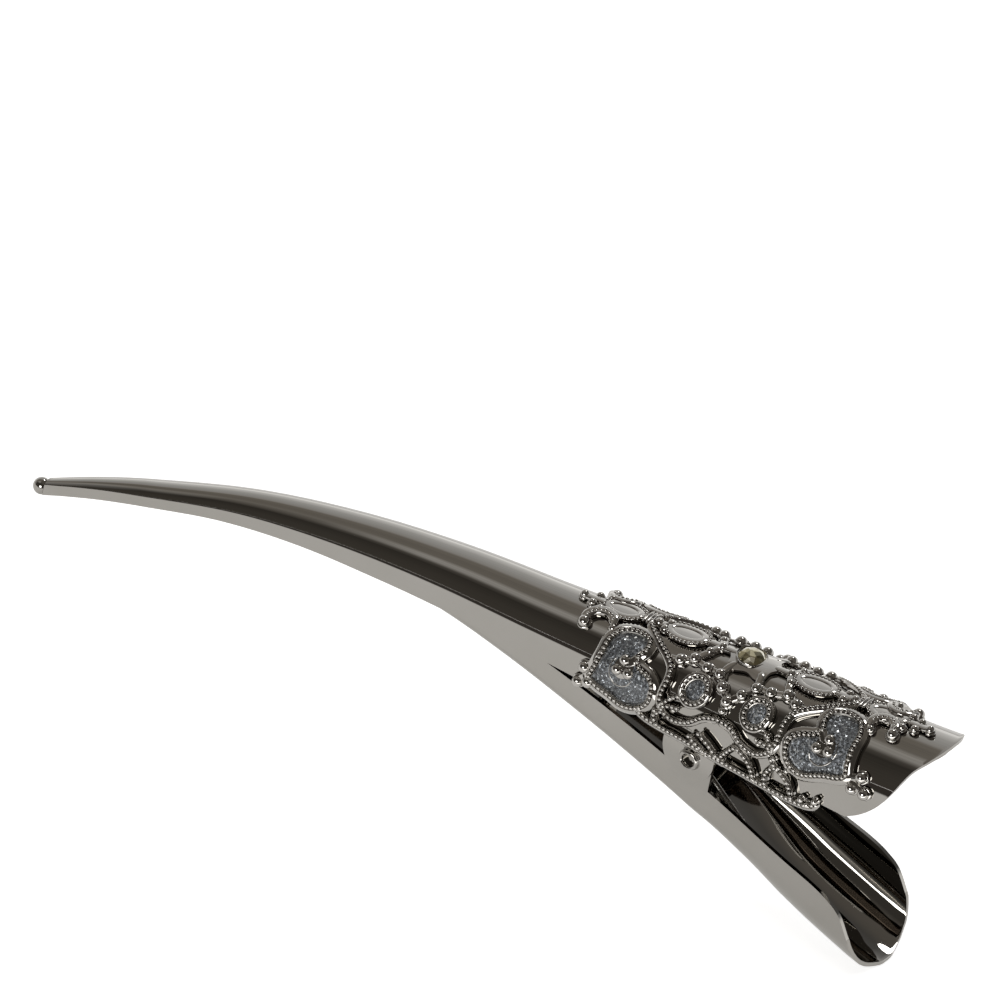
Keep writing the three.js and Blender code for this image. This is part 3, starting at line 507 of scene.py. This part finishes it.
RIDGE_BARS = [
    (1.0, [(-25.3, 0), (-23.6, 0), (-21.8, 0)]), (1.2, [(-17.0, 0), (-15.0, 0), (-12.8, 0)]),
    (1.0, [(-7.4, 0), (-5.0, 0), (-2.6, 0)]), (1.0, [(2.6, 0), (4.3, 0), (6.0, 0)]),
    (1.2, [(11.4, 0), (14.0, 0), (16.8, 0)]), (1.0, [(21.8, 0), (23.6, 0), (25.3, 0)])]
OVALS = [(-19.3, 2.6), (-10.1, 2.75), (8.7, 2.75), (19.2, 2.6)]
BALLS = [(8.4, 3.9), (6.8, 3.15), (4.65, 3.7), (2.65, 3.85), (1.45, 5.2), (13.85, 7.55), (15.0, 6.2),
         (15.55, 7.5)]
SMALL_BALLS = [(13.0, 0.7), (5.85, 1.45), (23.5, 0.85), (22.0, 1.3), (18.8, 3.2)]
GRAIN_BALLS = [(7.2, 8.4), (6.3, 9.6), (8.9, 10.6), (11.0, 11.4)]
RIDGE_BALLS = [(14.3, 0), (25.2, 0), (5.0, 0)]
LOBE_BALLS = [(13.8, 14.6), (14.8, 15.0), (15.7, 14.1)]
CELL = (4.5, 6.55)


def fair(places, closed=False, step=0.28):
    """Places on a smooth line through the given ones, about a step apart."""
    count = len(places)
    made = []
    for i in range(count if closed else count - 1):
        if closed:
            a, b, c, d = (Vector(places[(i + k) % count]) for k in (-1, 0, 1, 2))
        else:
            a, b, c, d = (Vector(places[min(max(i + k, 0), count - 1)]) for k in (-1, 0, 1, 2))
        parts = max(1, round((c - b).length / step))
        for k in range(parts):
            u = k / parts
            made.append(0.5 * (2 * b + (c - a) * u + (2 * a - 5 * b + 4 * c - d) * u * u
                               + (3 * b - a - 3 * c + d) * u**3))
    return made if closed else made + [Vector(places[-1])]


def beside(line, distance, closed=False):
    """The line moved sideways, to its left where the distance is positive."""
    count = len(line)
    moved = []
    for i, place in enumerate(line):
        if closed:
            ahead = line[(i + 1) % count] - line[i - 1]
        else:
            ahead = line[min(i + 1, count - 1)] - line[max(i - 1, 0)]
        moved.append(place + Vector((-ahead.y, ahead.x)).normalized() * distance)
    return moved


def ring(centre, radius, parts=36, squeeze=1.0):
    """A closed line round a centre, squeezed across the clip."""
    return [Vector((centre[0] + radius * math.cos(2 * math.pi * k / parts),
                    centre[1] + squeeze * radius * math.sin(2 * math.pi * k / parts))) for k in range(parts)]


def over(place, lift=0.0):
    """A place of the openwork on the shell, lifted off it."""
    return on_shell(CENTRE + place[0], place[1], lift)


def outward(place):
    """The direction out of the shell at a place."""
    return (over(place, 1.0) - over(place, 0.0)).normalized()


def stood(place, lift=0.0):
    """The frame of a piece that stands on the shell at a place, its own z pointing out."""
    turn = Vector((0, 0, 1)).rotation_difference(outward(place)).to_matrix().to_4x4()
    return Matrix.Translation(over(place, lift)) @ turn


def flipped(places, end, side):
    """The places on the front or rear half (end) and the near or far side."""
    return [Vector((end * p, side * a)) for p, a in places]


SHOULDERS = [(-0.5, 0.0), (-0.5, 0.62), (-0.44, 0.84), (-0.28, 0.96), (0.0, 1.0), (0.28, 0.96), (0.44, 0.84),
             (0.5, 0.62), (0.5, 0.0)]


def rail(bm, line, width, top=RAIL_TOP, closed=False, outline=SHOULDERS):
    """A rail along a line of places, with its outline across. Its free ends are round in plan."""
    count = len(line)
    sections = []
    for i, place in enumerate(line):
        before = line[i - 1] if closed else line[max(i - 1, 0)]
        after = line[(i + 1) % count] if closed else line[min(i + 1, count - 1)]
        up = outward(place)
        side = (over(after) - over(before)).cross(up).normalized()
        near_end = 1.0 if closed else min((place - line[0]).length, (place - line[-1]).length) / (width / 2)
        share = math.sqrt(max(1 - max(1 - near_end, 0.0) ** 2, 0.02))
        sections.append((over(place, RAIL_LOW), side * width * share, up * (top - RAIL_LOW)))

    def at(s, t):
        base, side, up = sections[round(s * (count if closed else count - 1)) % count]
        across, height = outline[round(t * len(outline)) % len(outline)]
        return base + side * across + up * height

    part = bmesh.new()
    net(part, count if closed else count - 1, len(outline), at)
    close_up(part, 0.0008)
    add_part(bm, part)


def grains(bm, line, closed=False, pitch=GRAIN_PITCH, radius=GRAIN, lift=RAIL_TOP - 0.1):
    """Tiny round grains at an even pitch along a line of places."""
    route = [over(place, lift) for place in line]
    if closed:
        route.append(route[0])
    lengths = [(b - a).length for a, b in zip(route, route[1:])]
    total = sum(lengths)
    count = max(2, round(total / pitch))
    part = bmesh.new()
    travelled, i = 0.0, 0
    for k in range(count if closed else count + 1):
        goal = total * k / count
        while i < len(lengths) - 1 and travelled + lengths[i] < goal:
            travelled += lengths[i]
            i += 1
        place = route[i].lerp(route[i + 1], min((goal - travelled) / max(lengths[i], 1e-6), 1.0))
        bmesh.ops.create_icosphere(part, subdivisions=2, radius=radius, matrix=Matrix.Translation(place))
    add_part(bm, part)


def ball(place, radius, lift=0.52):
    """A cast ball, half sunk in its low round foot."""
    part = bmesh.new()
    bmesh.ops.create_uvsphere(part, u_segments=24, v_segments=14, radius=radius, matrix=stood(place, lift))
    add_part(balls, part)
    foot = radius * 1.22
    profile = [(0, RAIL_LOW), (foot, RAIL_LOW), (foot, 0.3), (foot * 0.92, 0.4), (foot * 0.8, 0.44),
               (0, 0.44)]
    spun(rails, profile, stood(place), steps=20)


rails, beading, balls = bmesh.new(), bmesh.new(), bmesh.new()
HALF_GROOVE, GROOVE_LIP, LIP_LIMIT = 0.27, 0.06, 0.43


def milled(line, width, offset, closed=False):
    """A rail with a groove set off sideways from its middle, and a line of grains in the groove."""
    middle, half = offset / width, HALF_GROOVE / width
    groove = [(middle - half - GROOVE_LIP, 1.0), (middle - half, 0.9), (middle - half * 0.6, 0.5),
              (middle + half * 0.6, 0.5), (middle + half, 0.9), (middle + half + GROOVE_LIP, 1.0)]
    lips = [(min(max(across, -LIP_LIMIT), LIP_LIMIT), height) for across, height in groove]
    rail(rails, line, width, closed=closed, outline=SHOULDERS[:3] + lips + SHOULDERS[-3:])
    grains(beading, beside(line, offset, closed), closed=closed)


for width, bar in RIDGE_BARS:
    rail(rails, fair(bar), width, top=0.75)
for middle, long in OVALS:
    rail(rails, ring((middle, 0), long - 0.25, squeeze=0.52), 1.0, top=0.74, closed=True)
    round_oval = ring((middle, 0), long + 0.32, squeeze=0.56)
    grains(beading, round_oval, closed=True, lift=0.66, radius=0.24, pitch=0.56)
for end in (-1, 1):
    for k in range(3):
        band = [(15.0 + 0.5 * k, a) for a in (-1.2, -0.6, 0, 0.6, 1.2)]
        rail(rails, flipped(fair(band), end, 1), 0.42, top=RAIL_TOP + 0.1)
    for place in flipped(RIDGE_BALLS, end, 1):
        ball(place, 0.62)
    for side in (-1, 1):
        turn = end * side
        milled(flipped(fair(SCROLL), end, side), 1.15, -0.14 * turn)
        leaf = flipped(fair(FRONT_LEAF if end < 0 else REAR_LEAF, closed=True), end, side)
        milled(beside(leaf, -0.16 * turn, True), 1.45, 0.25 * turn, closed=True)
        for places in QUARTER_RAILS:
            milled(flipped(fair(places), end, side), 0.8, 0.0)
        for places in ARMS:
            rail(rails, flipped(fair(places), end, side), 1.0, top=0.72)
        hook = flipped(fair(FRONT_HOOK if end < 0 else REAR_HOOK), end, side)
        rail(rails, hook, 1.35, top=1.05)
        grains(beading, beside(hook[3:-3], 0.1 * turn), lift=0.98, radius=0.24)
        ball(hook[-1], 0.8, 0.5)
        rail(rails, flipped(fair(CHAIN), end, side), 0.95, top=0.55)
        corner = FRONT_CORNER if end < 0 else REAR_CORNER
        for place in corner:
            rail(rails, flipped(fair([(18.9, 9.4), place]), end, side), 1.1, top=0.75)
        for place in flipped(BALLS + corner, end, side):
            ball(place, 0.78)
        for place in flipped(SMALL_BALLS, end, side):
            ball(place, 0.58, 0.45)
        for place in flipped(GRAIN_BALLS, end, side):
            ball(place, 0.36, 0.66)
        cell = flipped([CELL], end, side)[0]
        rail(rails, ring(cell, 1.95), 0.62, closed=True)
        rail(rails, ring(cell, 1.33), 0.3, top=RAIL_TOP - 0.08, closed=True)
        grains(beading, ring(cell, 1.64), closed=True, radius=0.28, pitch=0.64)
for side in (-1, 1):
    milled(flipped(fair(BORDER), 1, side), 1.2, -0.16 * side)
    for places in SINGLE_RAILS:
        milled(flipped(fair(places), 1, side), 0.95, 0.0)
    ball((0, side * 6.5), 0.78)
    ball((0, side * 7.65), 0.55, 0.45)
    for place in flipped(LOBE_BALLS, 1, side):
        ball(place, 0.45, 0.7)

# Plates in the ovals and islands in the leaves
# A smooth sunk floor closes each oval on the ridge. In each leaf a smooth round plate under the three
# balls joins the notch, with a thin curl round it.
ISLAND, ISLAND_RADIUS = (14.8, 7.05), 1.35
CURL = [(13.1, 8.2), (13.6, 9.0), (14.9, 9.35), (16.1, 8.7), (16.6, 7.4), (16.2, 6.2)]


def pad(bm, outline, heart, low, top, swell, rings=10):
    """A thick patch inside an outline of places: flat below, gently domed above."""
    count = len(outline)

    def out(s, t):
        return Vector(heart).lerp(outline[round(t * count) % count], s)

    part = bmesh.new()
    net(part, rings, count, lambda s, t: over(out(s, t), top + swell * math.sqrt(max(1 - s * s, 0.0))))
    net(part, rings, count, lambda s, t: over(out(s, t), low))
    bmesh.ops.remove_doubles(part, verts=part.verts, dist=0.002)
    bmesh.ops.bridge_loops(part, edges=[e for e in part.edges if e.is_boundary])
    bmesh.ops.recalc_face_normals(part, faces=part.faces)
    add_part(bm, part)


for middle, long in OVALS:
    pad(rails, ring((middle, 0), long, squeeze=0.5), (middle, 0), RAIL_LOW, 0.52, 0.05, rings=6)
for end in (-1, 1):
    for side in (-1, 1):
        middle = flipped([ISLAND], end, side)[0]
        pad(rails, ring(middle, ISLAND_RADIUS), middle, RAIL_LOW, 0.66, 0.08, rings=5)
        rail(rails, flipped(fair([(13.3, 5.2), (13.9, 6.0), (14.6, 6.8)]), end, side), 1.2, top=0.8)
        rail(rails, flipped(fair(CURL), end, side), 0.32, top=0.66)

# Seat of the stone
# A smooth low plate with a lobed edge, cast with the rails, carries a plain round cup. The cup's edge
# is pressed over the edge of the stone.
SEAT = (-0.85, 0.0)
CUP = [(0, 0.3), (2.02, 0.3), (2.05, 0.6), (2.05, 0.86), (1.99, 0.93), (1.91, 0.9), (1.87, 0.75), (0, 0.6)]
SEAT_PLATE = [(3.4, 0), (2.7, 1.2), (2.6, 2.5), (1.7, 2.9), (0, 2.35), (-1.7, 2.7), (-2.8, 2.3),
              (-3.1, 1.2), (-3.8, 0), (-3.1, -1.2), (-2.8, -2.3), (-1.7, -2.7), (0, -2.35), (1.7, -2.9),
              (2.6, -2.5), (2.7, -1.2)]
pad(rails, fair(SEAT_PLATE, closed=True), (0, 0), RAIL_LOW, 0.56, 0.12, rings=8)
spun(rails, CUP, stood(SEAT), steps=48)
# The casting has the sheet's plating but a lighter colour: painted light, so its rail tops look brighter.
cast_nickel = black_nickel("black_nickel_plated_casting", "#bab7b2", "#aba8a3", 0.035, 0.06)
openwork = finished(rails, "openwork_rails", "upper_half", cast_nickel, smooth_to=50)
finished(beading, "openwork_grains", "upper_half", cast_nickel, smooth_to=80)
finished(balls, "openwork_balls", "upper_half", cast_nickel, smooth_to=80)
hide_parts("filigree_plate")

# Glitter enamel
# A grey lacquer full of cut foil flakes, poured into the leaves and round cells and left slightly
# domed. The flakes, about 0.2 mm wide, lie at all angles, so a few flash while most stay dark.
glitter_lacquer, tree = new_finish("glitter_lacquer")
place = add(tree, "ShaderNodeTexCoord").outputs["Object"]
flakes = add(tree, "ShaderNodeTexVoronoi", {"Vector": place, "Scale": 5.2 * PER_MM},
             feature="F1").outputs["Color"]
tint = ramp(tree, flakes, [(0.1, srgb("#323538")), (0.55, srgb("#676a6e")), (0.8, srgb("#969b9f")),
                           (0.95, srgb("#eef1f2"))])
tilt = add(tree, "ShaderNodeVectorMath", {0: flakes, 1: (0.5, 0.5, 0.5)}, operation="SUBTRACT")
lean = add(tree, "ShaderNodeVectorMath", {0: tilt.outputs["Vector"], "Scale": 1.2}, operation="SCALE")
straight = add(tree, "ShaderNodeNewGeometry").outputs["Normal"]
leaning = add(tree, "ShaderNodeVectorMath", {0: straight, 1: lean.outputs["Vector"]}, operation="ADD")
facing = add(tree, "ShaderNodeVectorMath", {0: leaning.outputs["Vector"]}, operation="NORMALIZE")
shader = add(tree, "ShaderNodeBsdfPrincipled", {
    "Base Color": tint, "Metallic": 0.6, "Roughness": 0.3, "Normal": facing.outputs["Vector"],
    "Coat Weight": 0.7, "Coat Roughness": 0.05})
add(tree, "ShaderNodeOutputMaterial", {"Surface": shader.outputs["BSDF"]})


def poured(name, outline, heart, low, top, swell, node):
    """A fill of lacquer inside an outline, standing for its node."""
    fill = bmesh.new()
    pad(fill, outline, heart, low, top, swell)
    piece = finished(fill, name, "upper_half", glitter_lacquer, smooth_to=50)
    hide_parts(node)


for end, where in ((-1, "front"), (1, "rear")):
    for side, hand in ((1, "left"), (-1, "right")):
        leaf = fair(FRONT_LEAF if end < 0 else REAR_LEAF, closed=True)
        inside = flipped(beside(leaf, 0.42, True), end, side)
        poured(f"leaf_lacquer_{where}_{hand}", inside, flipped([LEAF_HEART], end, side)[0], 0.3, 0.5, 0.16,
               f"{where}_{hand}_glitter_leaf")
        cell = flipped([CELL], end, side)[0]
        poured(f"cell_lacquer_{where}_{hand}", ring(cell, 1.25), cell, 0.3, 0.48, 0.2,
               f"{where}_{hand}_glitter_dot")

# Centre stone
# A round faceted stone of smoky gold glass, foiled behind so that it throws the light back. It is held
# in the cup on the ridge.
STONE = 1.9
stone = bmesh.new()
for radius, height, count, turn in ((1.0, 0.0, 16, 0.0), (0.97, 0.1, 16, 0.0), (0.78, 0.52, 8, 0.5),
                                    (0.5, 0.86, 8, 0.0), (0.0, 0.92, 1, 0.0)):
    for k in range(count):
        angle = 2 * math.pi * (k + turn) / count
        stone.verts.new((STONE * radius * math.cos(angle), STONE * radius * math.sin(angle), height))
bmesh.ops.convex_hull(stone, input=stone.verts)
bmesh.ops.recalc_face_normals(stone, faces=stone.faces)
bmesh.ops.transform(stone, matrix=stood(SEAT, 0.62), verts=stone.verts)
foiled_glass, tree = new_finish("smoky_gold_glass_foiled")
place = add(tree, "ShaderNodeTexCoord").outputs["Object"]
# The pale, olive and dark patches across the stone are painted reflections of lit and shaded facets.
cells = add(tree, "ShaderNodeTexVoronoi", {"Vector": place, "Scale": 0.8 * PER_MM},
            feature="F1").outputs["Color"]
tint = ramp(tree, cells, [(0.2, srgb("#5b5436")), (0.5, srgb("#aca27c")), (0.85, srgb("#f2edd8"))])
shader = add(tree, "ShaderNodeBsdfPrincipled", {
    "Base Color": tint, "Metallic": 0.85, "Roughness": 0.08, "Coat Weight": 1.0, "Coat Roughness": 0.02})
add(tree, "ShaderNodeOutputMaterial", {"Surface": shader.outputs["BSDF"]})
faceted_stone = finished(stone, "faceted_stone", "upper_half", foiled_glass, smooth_to=2)
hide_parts("centre_stone")

# Table, room and studio lights
# The camera sees a plain white table and surround. Other rays see a room that is light behind, dim
# overhead and dark in front, and mirrored and transmitted ones a dim table with a bright pool beside
# the clip and a dark front part. A softbox, a small lamp overhead and a fill give the light.
TABLE_EDGE = (-0.15, -0.12)
POOL_SLANT, POOL_SIDE, POOL_FRONT = -0.44, (0.072, 0.082), (-0.042, -0.052)
POOL_GLOW, TABLE_GLOW, CAMERA_GLOW = 2.6, 0.4, 0.72
TABLE_DEPTH = 0.0009
table_mesh = bmesh.new()
bmesh.ops.create_grid(table_mesh, x_segments=1, y_segments=1, size=3.0)
table_data = bpy.data.meshes.new("table_top")
table_mesh.to_mesh(table_data)
table_mesh.free()
table_top = bpy.data.objects.new("table_top", table_data)
bpy.context.scene.collection.objects.link(table_top)
table_top.location.z = -TABLE_DEPTH
white_paper, tree = new_finish("white_table_paper")
rays = add(tree, "ShaderNodeLightPath")
mirrored = add(tree, "ShaderNodeMath", {0: rays.outputs["Is Glossy Ray"],
                                        1: rays.outputs["Is Transmission Ray"]}, operation="MAXIMUM")
spot = add(tree, "ShaderNodeSeparateXYZ", {"Vector": add(tree, "ShaderNodeNewGeometry").outputs["Position"]})
slant = add(tree, "ShaderNodeMath", {0: spot.outputs["Y"], 1: POOL_SLANT, 2: spot.outputs["X"]},
            operation="MULTIPLY_ADD")
beside_clip = add(tree, "ShaderNodeMapRange", {"Value": slant.outputs[0], "From Min": POOL_SIDE[0],
                                               "From Max": POOL_SIDE[1]})
before_clip = add(tree, "ShaderNodeMapRange", {"Value": spot.outputs["Y"], "From Min": POOL_FRONT[0],
                                               "From Max": POOL_FRONT[1]})
pool = add(tree, "ShaderNodeMath", {0: beside_clip.outputs["Result"], 1: before_clip.outputs["Result"]},
           operation="MULTIPLY")
bright = add(tree, "ShaderNodeMath", {0: pool.outputs[0], 1: POOL_GLOW, 2: TABLE_GLOW},
             operation="MULTIPLY_ADD")
glow = add(tree, "ShaderNodeMath", {0: mirrored.outputs[0], 1: bright.outputs[0]}, operation="MULTIPLY")
glow = add(tree, "ShaderNodeMath", {0: rays.outputs["Is Camera Ray"], 1: CAMERA_GLOW, 2: glow.outputs[0]},
           operation="MULTIPLY_ADD")
paper = add(tree, "ShaderNodeBsdfDiffuse", {"Color": srgb("#e6e6e6")})
light = add(tree, "ShaderNodeEmission", {"Color": (1, 1, 1, 1), "Strength": glow.outputs[0]})
lit = add(tree, "ShaderNodeAddShader", {0: paper.outputs[0], 1: light.outputs[0]})
unlit = add(tree, "ShaderNodeEmission", {"Color": srgb("#4a4642"), "Strength": 1.0})
front = add(tree, "ShaderNodeMapRange", {"Value": spot.outputs["Y"], "From Min": TABLE_EDGE[1],
                                         "From Max": TABLE_EDGE[0], "To Min": 0.0, "To Max": 1.0})
dim = add(tree, "ShaderNodeMath", {0: front.outputs["Result"], 1: mirrored.outputs[0]}, operation="MULTIPLY")
both = add(tree, "ShaderNodeMixShader", {0: dim.outputs[0], 1: lit.outputs[0], 2: unlit.outputs[0]})
add(tree, "ShaderNodeOutputMaterial", {"Surface": both.outputs[0]})
table_data.materials.append(white_paper)

scene = bpy.context.scene
room = bpy.data.worlds.new("studio_room")
scene.world = room
room.use_nodes = True
tree = room.node_tree
tree.nodes.clear()
direction = add(tree, "ShaderNodeTexCoord").outputs["Generated"]
parts = add(tree, "ShaderNodeSeparateXYZ", {"Vector": direction})
around = add(tree, "ShaderNodeMath", {0: parts.outputs["Z"], 1: parts.outputs["Y"]}, operation="ARCTAN2")
share = add(tree, "ShaderNodeMath", {0: around.outputs[0], 1: math.pi}, operation="DIVIDE")


def grey(level, warmth=0.0):
    """A linear grey, browner with more warmth."""
    return (level, level * (1 - 0.08 * warmth), level * (1 - 0.18 * warmth), 1.0)


walls = ramp(tree, share.outputs[0], [
    (0.0, grey(1.35)), (0.045, grey(1.4)), (0.075, grey(1.05)), (0.13, grey(0.92)), (0.2, grey(0.68)),
    (0.27, grey(0.6)), (0.345, grey(0.5, 0.3)), (0.385, grey(0.29, 1)), (0.47, grey(0.25, 1)),
    (0.53, grey(0.27, 1)), (0.56, grey(0.3, 0.8)), (0.67, grey(0.16, 1)), (0.74, grey(0.06, 1.2)),
    (0.86, grey(0.08, 1.2)), (1.0, grey(0.09, 1.2))])
strip = ramp(tree, share.outputs[0], [(0.55, grey(0)), (0.6, grey(0.3)), (0.64, grey(0.3)), (0.69, grey(0))])
near = add(tree, "ShaderNodeMapRange", {"Value": parts.outputs["X"], "From Min": -0.74, "From Max": -0.64})
screen = add(tree, "ShaderNodeVectorMath", {0: strip, "Scale": near.outputs["Result"]}, operation="SCALE")
tip_side = add(tree, "ShaderNodeVectorMath", {0: walls, 1: screen.outputs["Vector"]}, operation="ADD")
doorway = ramp(tree, share.outputs[0], [
    (0.5, grey(0)), (0.62, grey(0.25)), (0.9, grey(0.25)), (1.0, grey(0))])
far = add(tree, "ShaderNodeMapRange", {"Value": parts.outputs["X"], "From Min": -0.84, "From Max": -0.92})
opened = add(tree, "ShaderNodeVectorMath", {0: doorway, "Scale": far.outputs["Result"]}, operation="SCALE")
tip_side = add(tree, "ShaderNodeVectorMath", {0: tip_side.outputs["Vector"], 1: opened.outputs["Vector"]},
               operation="ADD")
lines = add(tree, "ShaderNodeMath", {0: share.outputs[0], 1: 90.0}, operation="MULTIPLY")
shelves = add(tree, "ShaderNodeTexNoise", {"W": lines.outputs[0], "Scale": 1.0, "Detail": 3.0},
              noise_dimensions="1D")
uneven = add(tree, "ShaderNodeMapRange", {"Value": shelves.outputs["Fac"], "From Min": 0.3, "From Max": 0.7,
                                          "To Min": 0.9, "To Max": 1.1})
streaked = add(tree, "ShaderNodeVectorMath", {0: tip_side.outputs["Vector"],
                                              "Scale": uneven.outputs["Result"]}, operation="SCALE")
lever_side = ramp(tree, share.outputs[0], [
    (0.0, grey(1.3)), (0.06, grey(1.2)), (0.11, grey(0.45)), (0.2, grey(0.14)), (0.3, grey(0.11, 0.5)),
    (0.37, grey(0.15, 1)), (0.5, grey(0.17, 1)), (0.62, grey(0.14, 1)), (0.72, grey(0.07, 1)),
    (1.0, grey(0.07, 1.2))])
to_lever = add(tree, "ShaderNodeMapRange", {"Value": parts.outputs["X"], "From Min": -0.32, "From Max": -0.1})
room_light = add(tree, "ShaderNodeMix", {"Factor": to_lever.outputs["Result"], "B": lever_side,
                                         "A": streaked.outputs["Vector"]}, data_type="VECTOR")
walls_light = add(tree, "ShaderNodeBackground", {"Color": room_light.outputs["Result"], "Strength": 1.0})
white = add(tree, "ShaderNodeBackground", {"Color": (1, 1, 1, 1), "Strength": 1.0})
seen = add(tree, "ShaderNodeLightPath").outputs["Is Camera Ray"]
either = add(tree, "ShaderNodeMixShader", {0: seen, 1: walls_light.outputs[0], 2: white.outputs[0]})
add(tree, "ShaderNodeOutputWorld", {"Surface": either.outputs[0]})


def lamp(name, place, aim, size, power, glossy=True):
    """A soft lamp that shines towards aim, and is mirrored in the plating only where glossy."""
    data = bpy.data.lights.new(name, "AREA")
    data.shape = "ELLIPSE"
    data.size, data.size_y = size
    data.energy = power
    lit = bpy.data.objects.new(name, data)
    lit.location = place
    lit.rotation_euler = (Vector(aim) - Vector(place)).to_track_quat("-Z", "Y").to_euler()
    lit.visible_glossy = glossy
    scene.collection.objects.link(lit)


lamp("overhead_lamp", (-0.075, 0.46, 0.66), (0, 0, 0.02), (0.17, 0.17), 0.9)
lamp("front_softbox", (0.085, -0.77, 0.25), (0.03, 0, 0.02), (0.42, 0.3), 2.4)
lamp("room_fill", (0.0, 0.0, 1.2), (0, 0, 0), (1.2, 1.2), 4.0, glossy=False)

# Camera
# A very long lens at the photograph's angle, a little rolled. It is aimed so that the clip's tip lands
# at its pixel in the photograph's frame.
AZIMUTH, ELEVATION, ROLL, PIXELS_PER_MM = 27.4, 35.8, 11.57, 8.1
FRAME, TIP_PIXEL = 1000, (34, 485)
AIM_DEPTH = 35
SENSOR = 36
a, e, r = (math.radians(angle) for angle in (AZIMUTH, ELEVATION, ROLL))
level = Vector((math.cos(a), math.sin(a), 0))
upright = Vector((-math.sin(a) * math.sin(e), math.cos(a) * math.sin(e), math.cos(e)))
back = Vector((math.sin(a) * math.cos(e), -math.cos(a) * math.cos(e), math.sin(e)))
right = math.cos(r) * level + math.sin(r) * upright
up = -math.sin(r) * level + math.cos(r) * upright
tip = Vector((-TIP_TO_MIDDLE, 0, 1.1))
aim = (tip + right * ((FRAME / 2 - TIP_PIXEL[0]) / PIXELS_PER_MM)
       + up * ((TIP_PIXEL[1] - FRAME / 2) / PIXELS_PER_MM) + back * AIM_DEPTH)
DISTANCE = 4.5
view = bpy.data.cameras.new("camera")
view.sensor_width = SENSOR
view.lens = SENSOR * DISTANCE / (FRAME / PIXELS_PER_MM / 1000)
view.clip_end = 40
camera = bpy.data.objects.new("camera", view)
turn = Matrix((right, up, back)).transposed().to_4x4()
camera.matrix_world = Matrix.Translation(aim / 1000 + back * DISTANCE) @ turn
scene.collection.objects.link(camera)
scene.camera = camera
scene.view_settings.view_transform = "Standard"
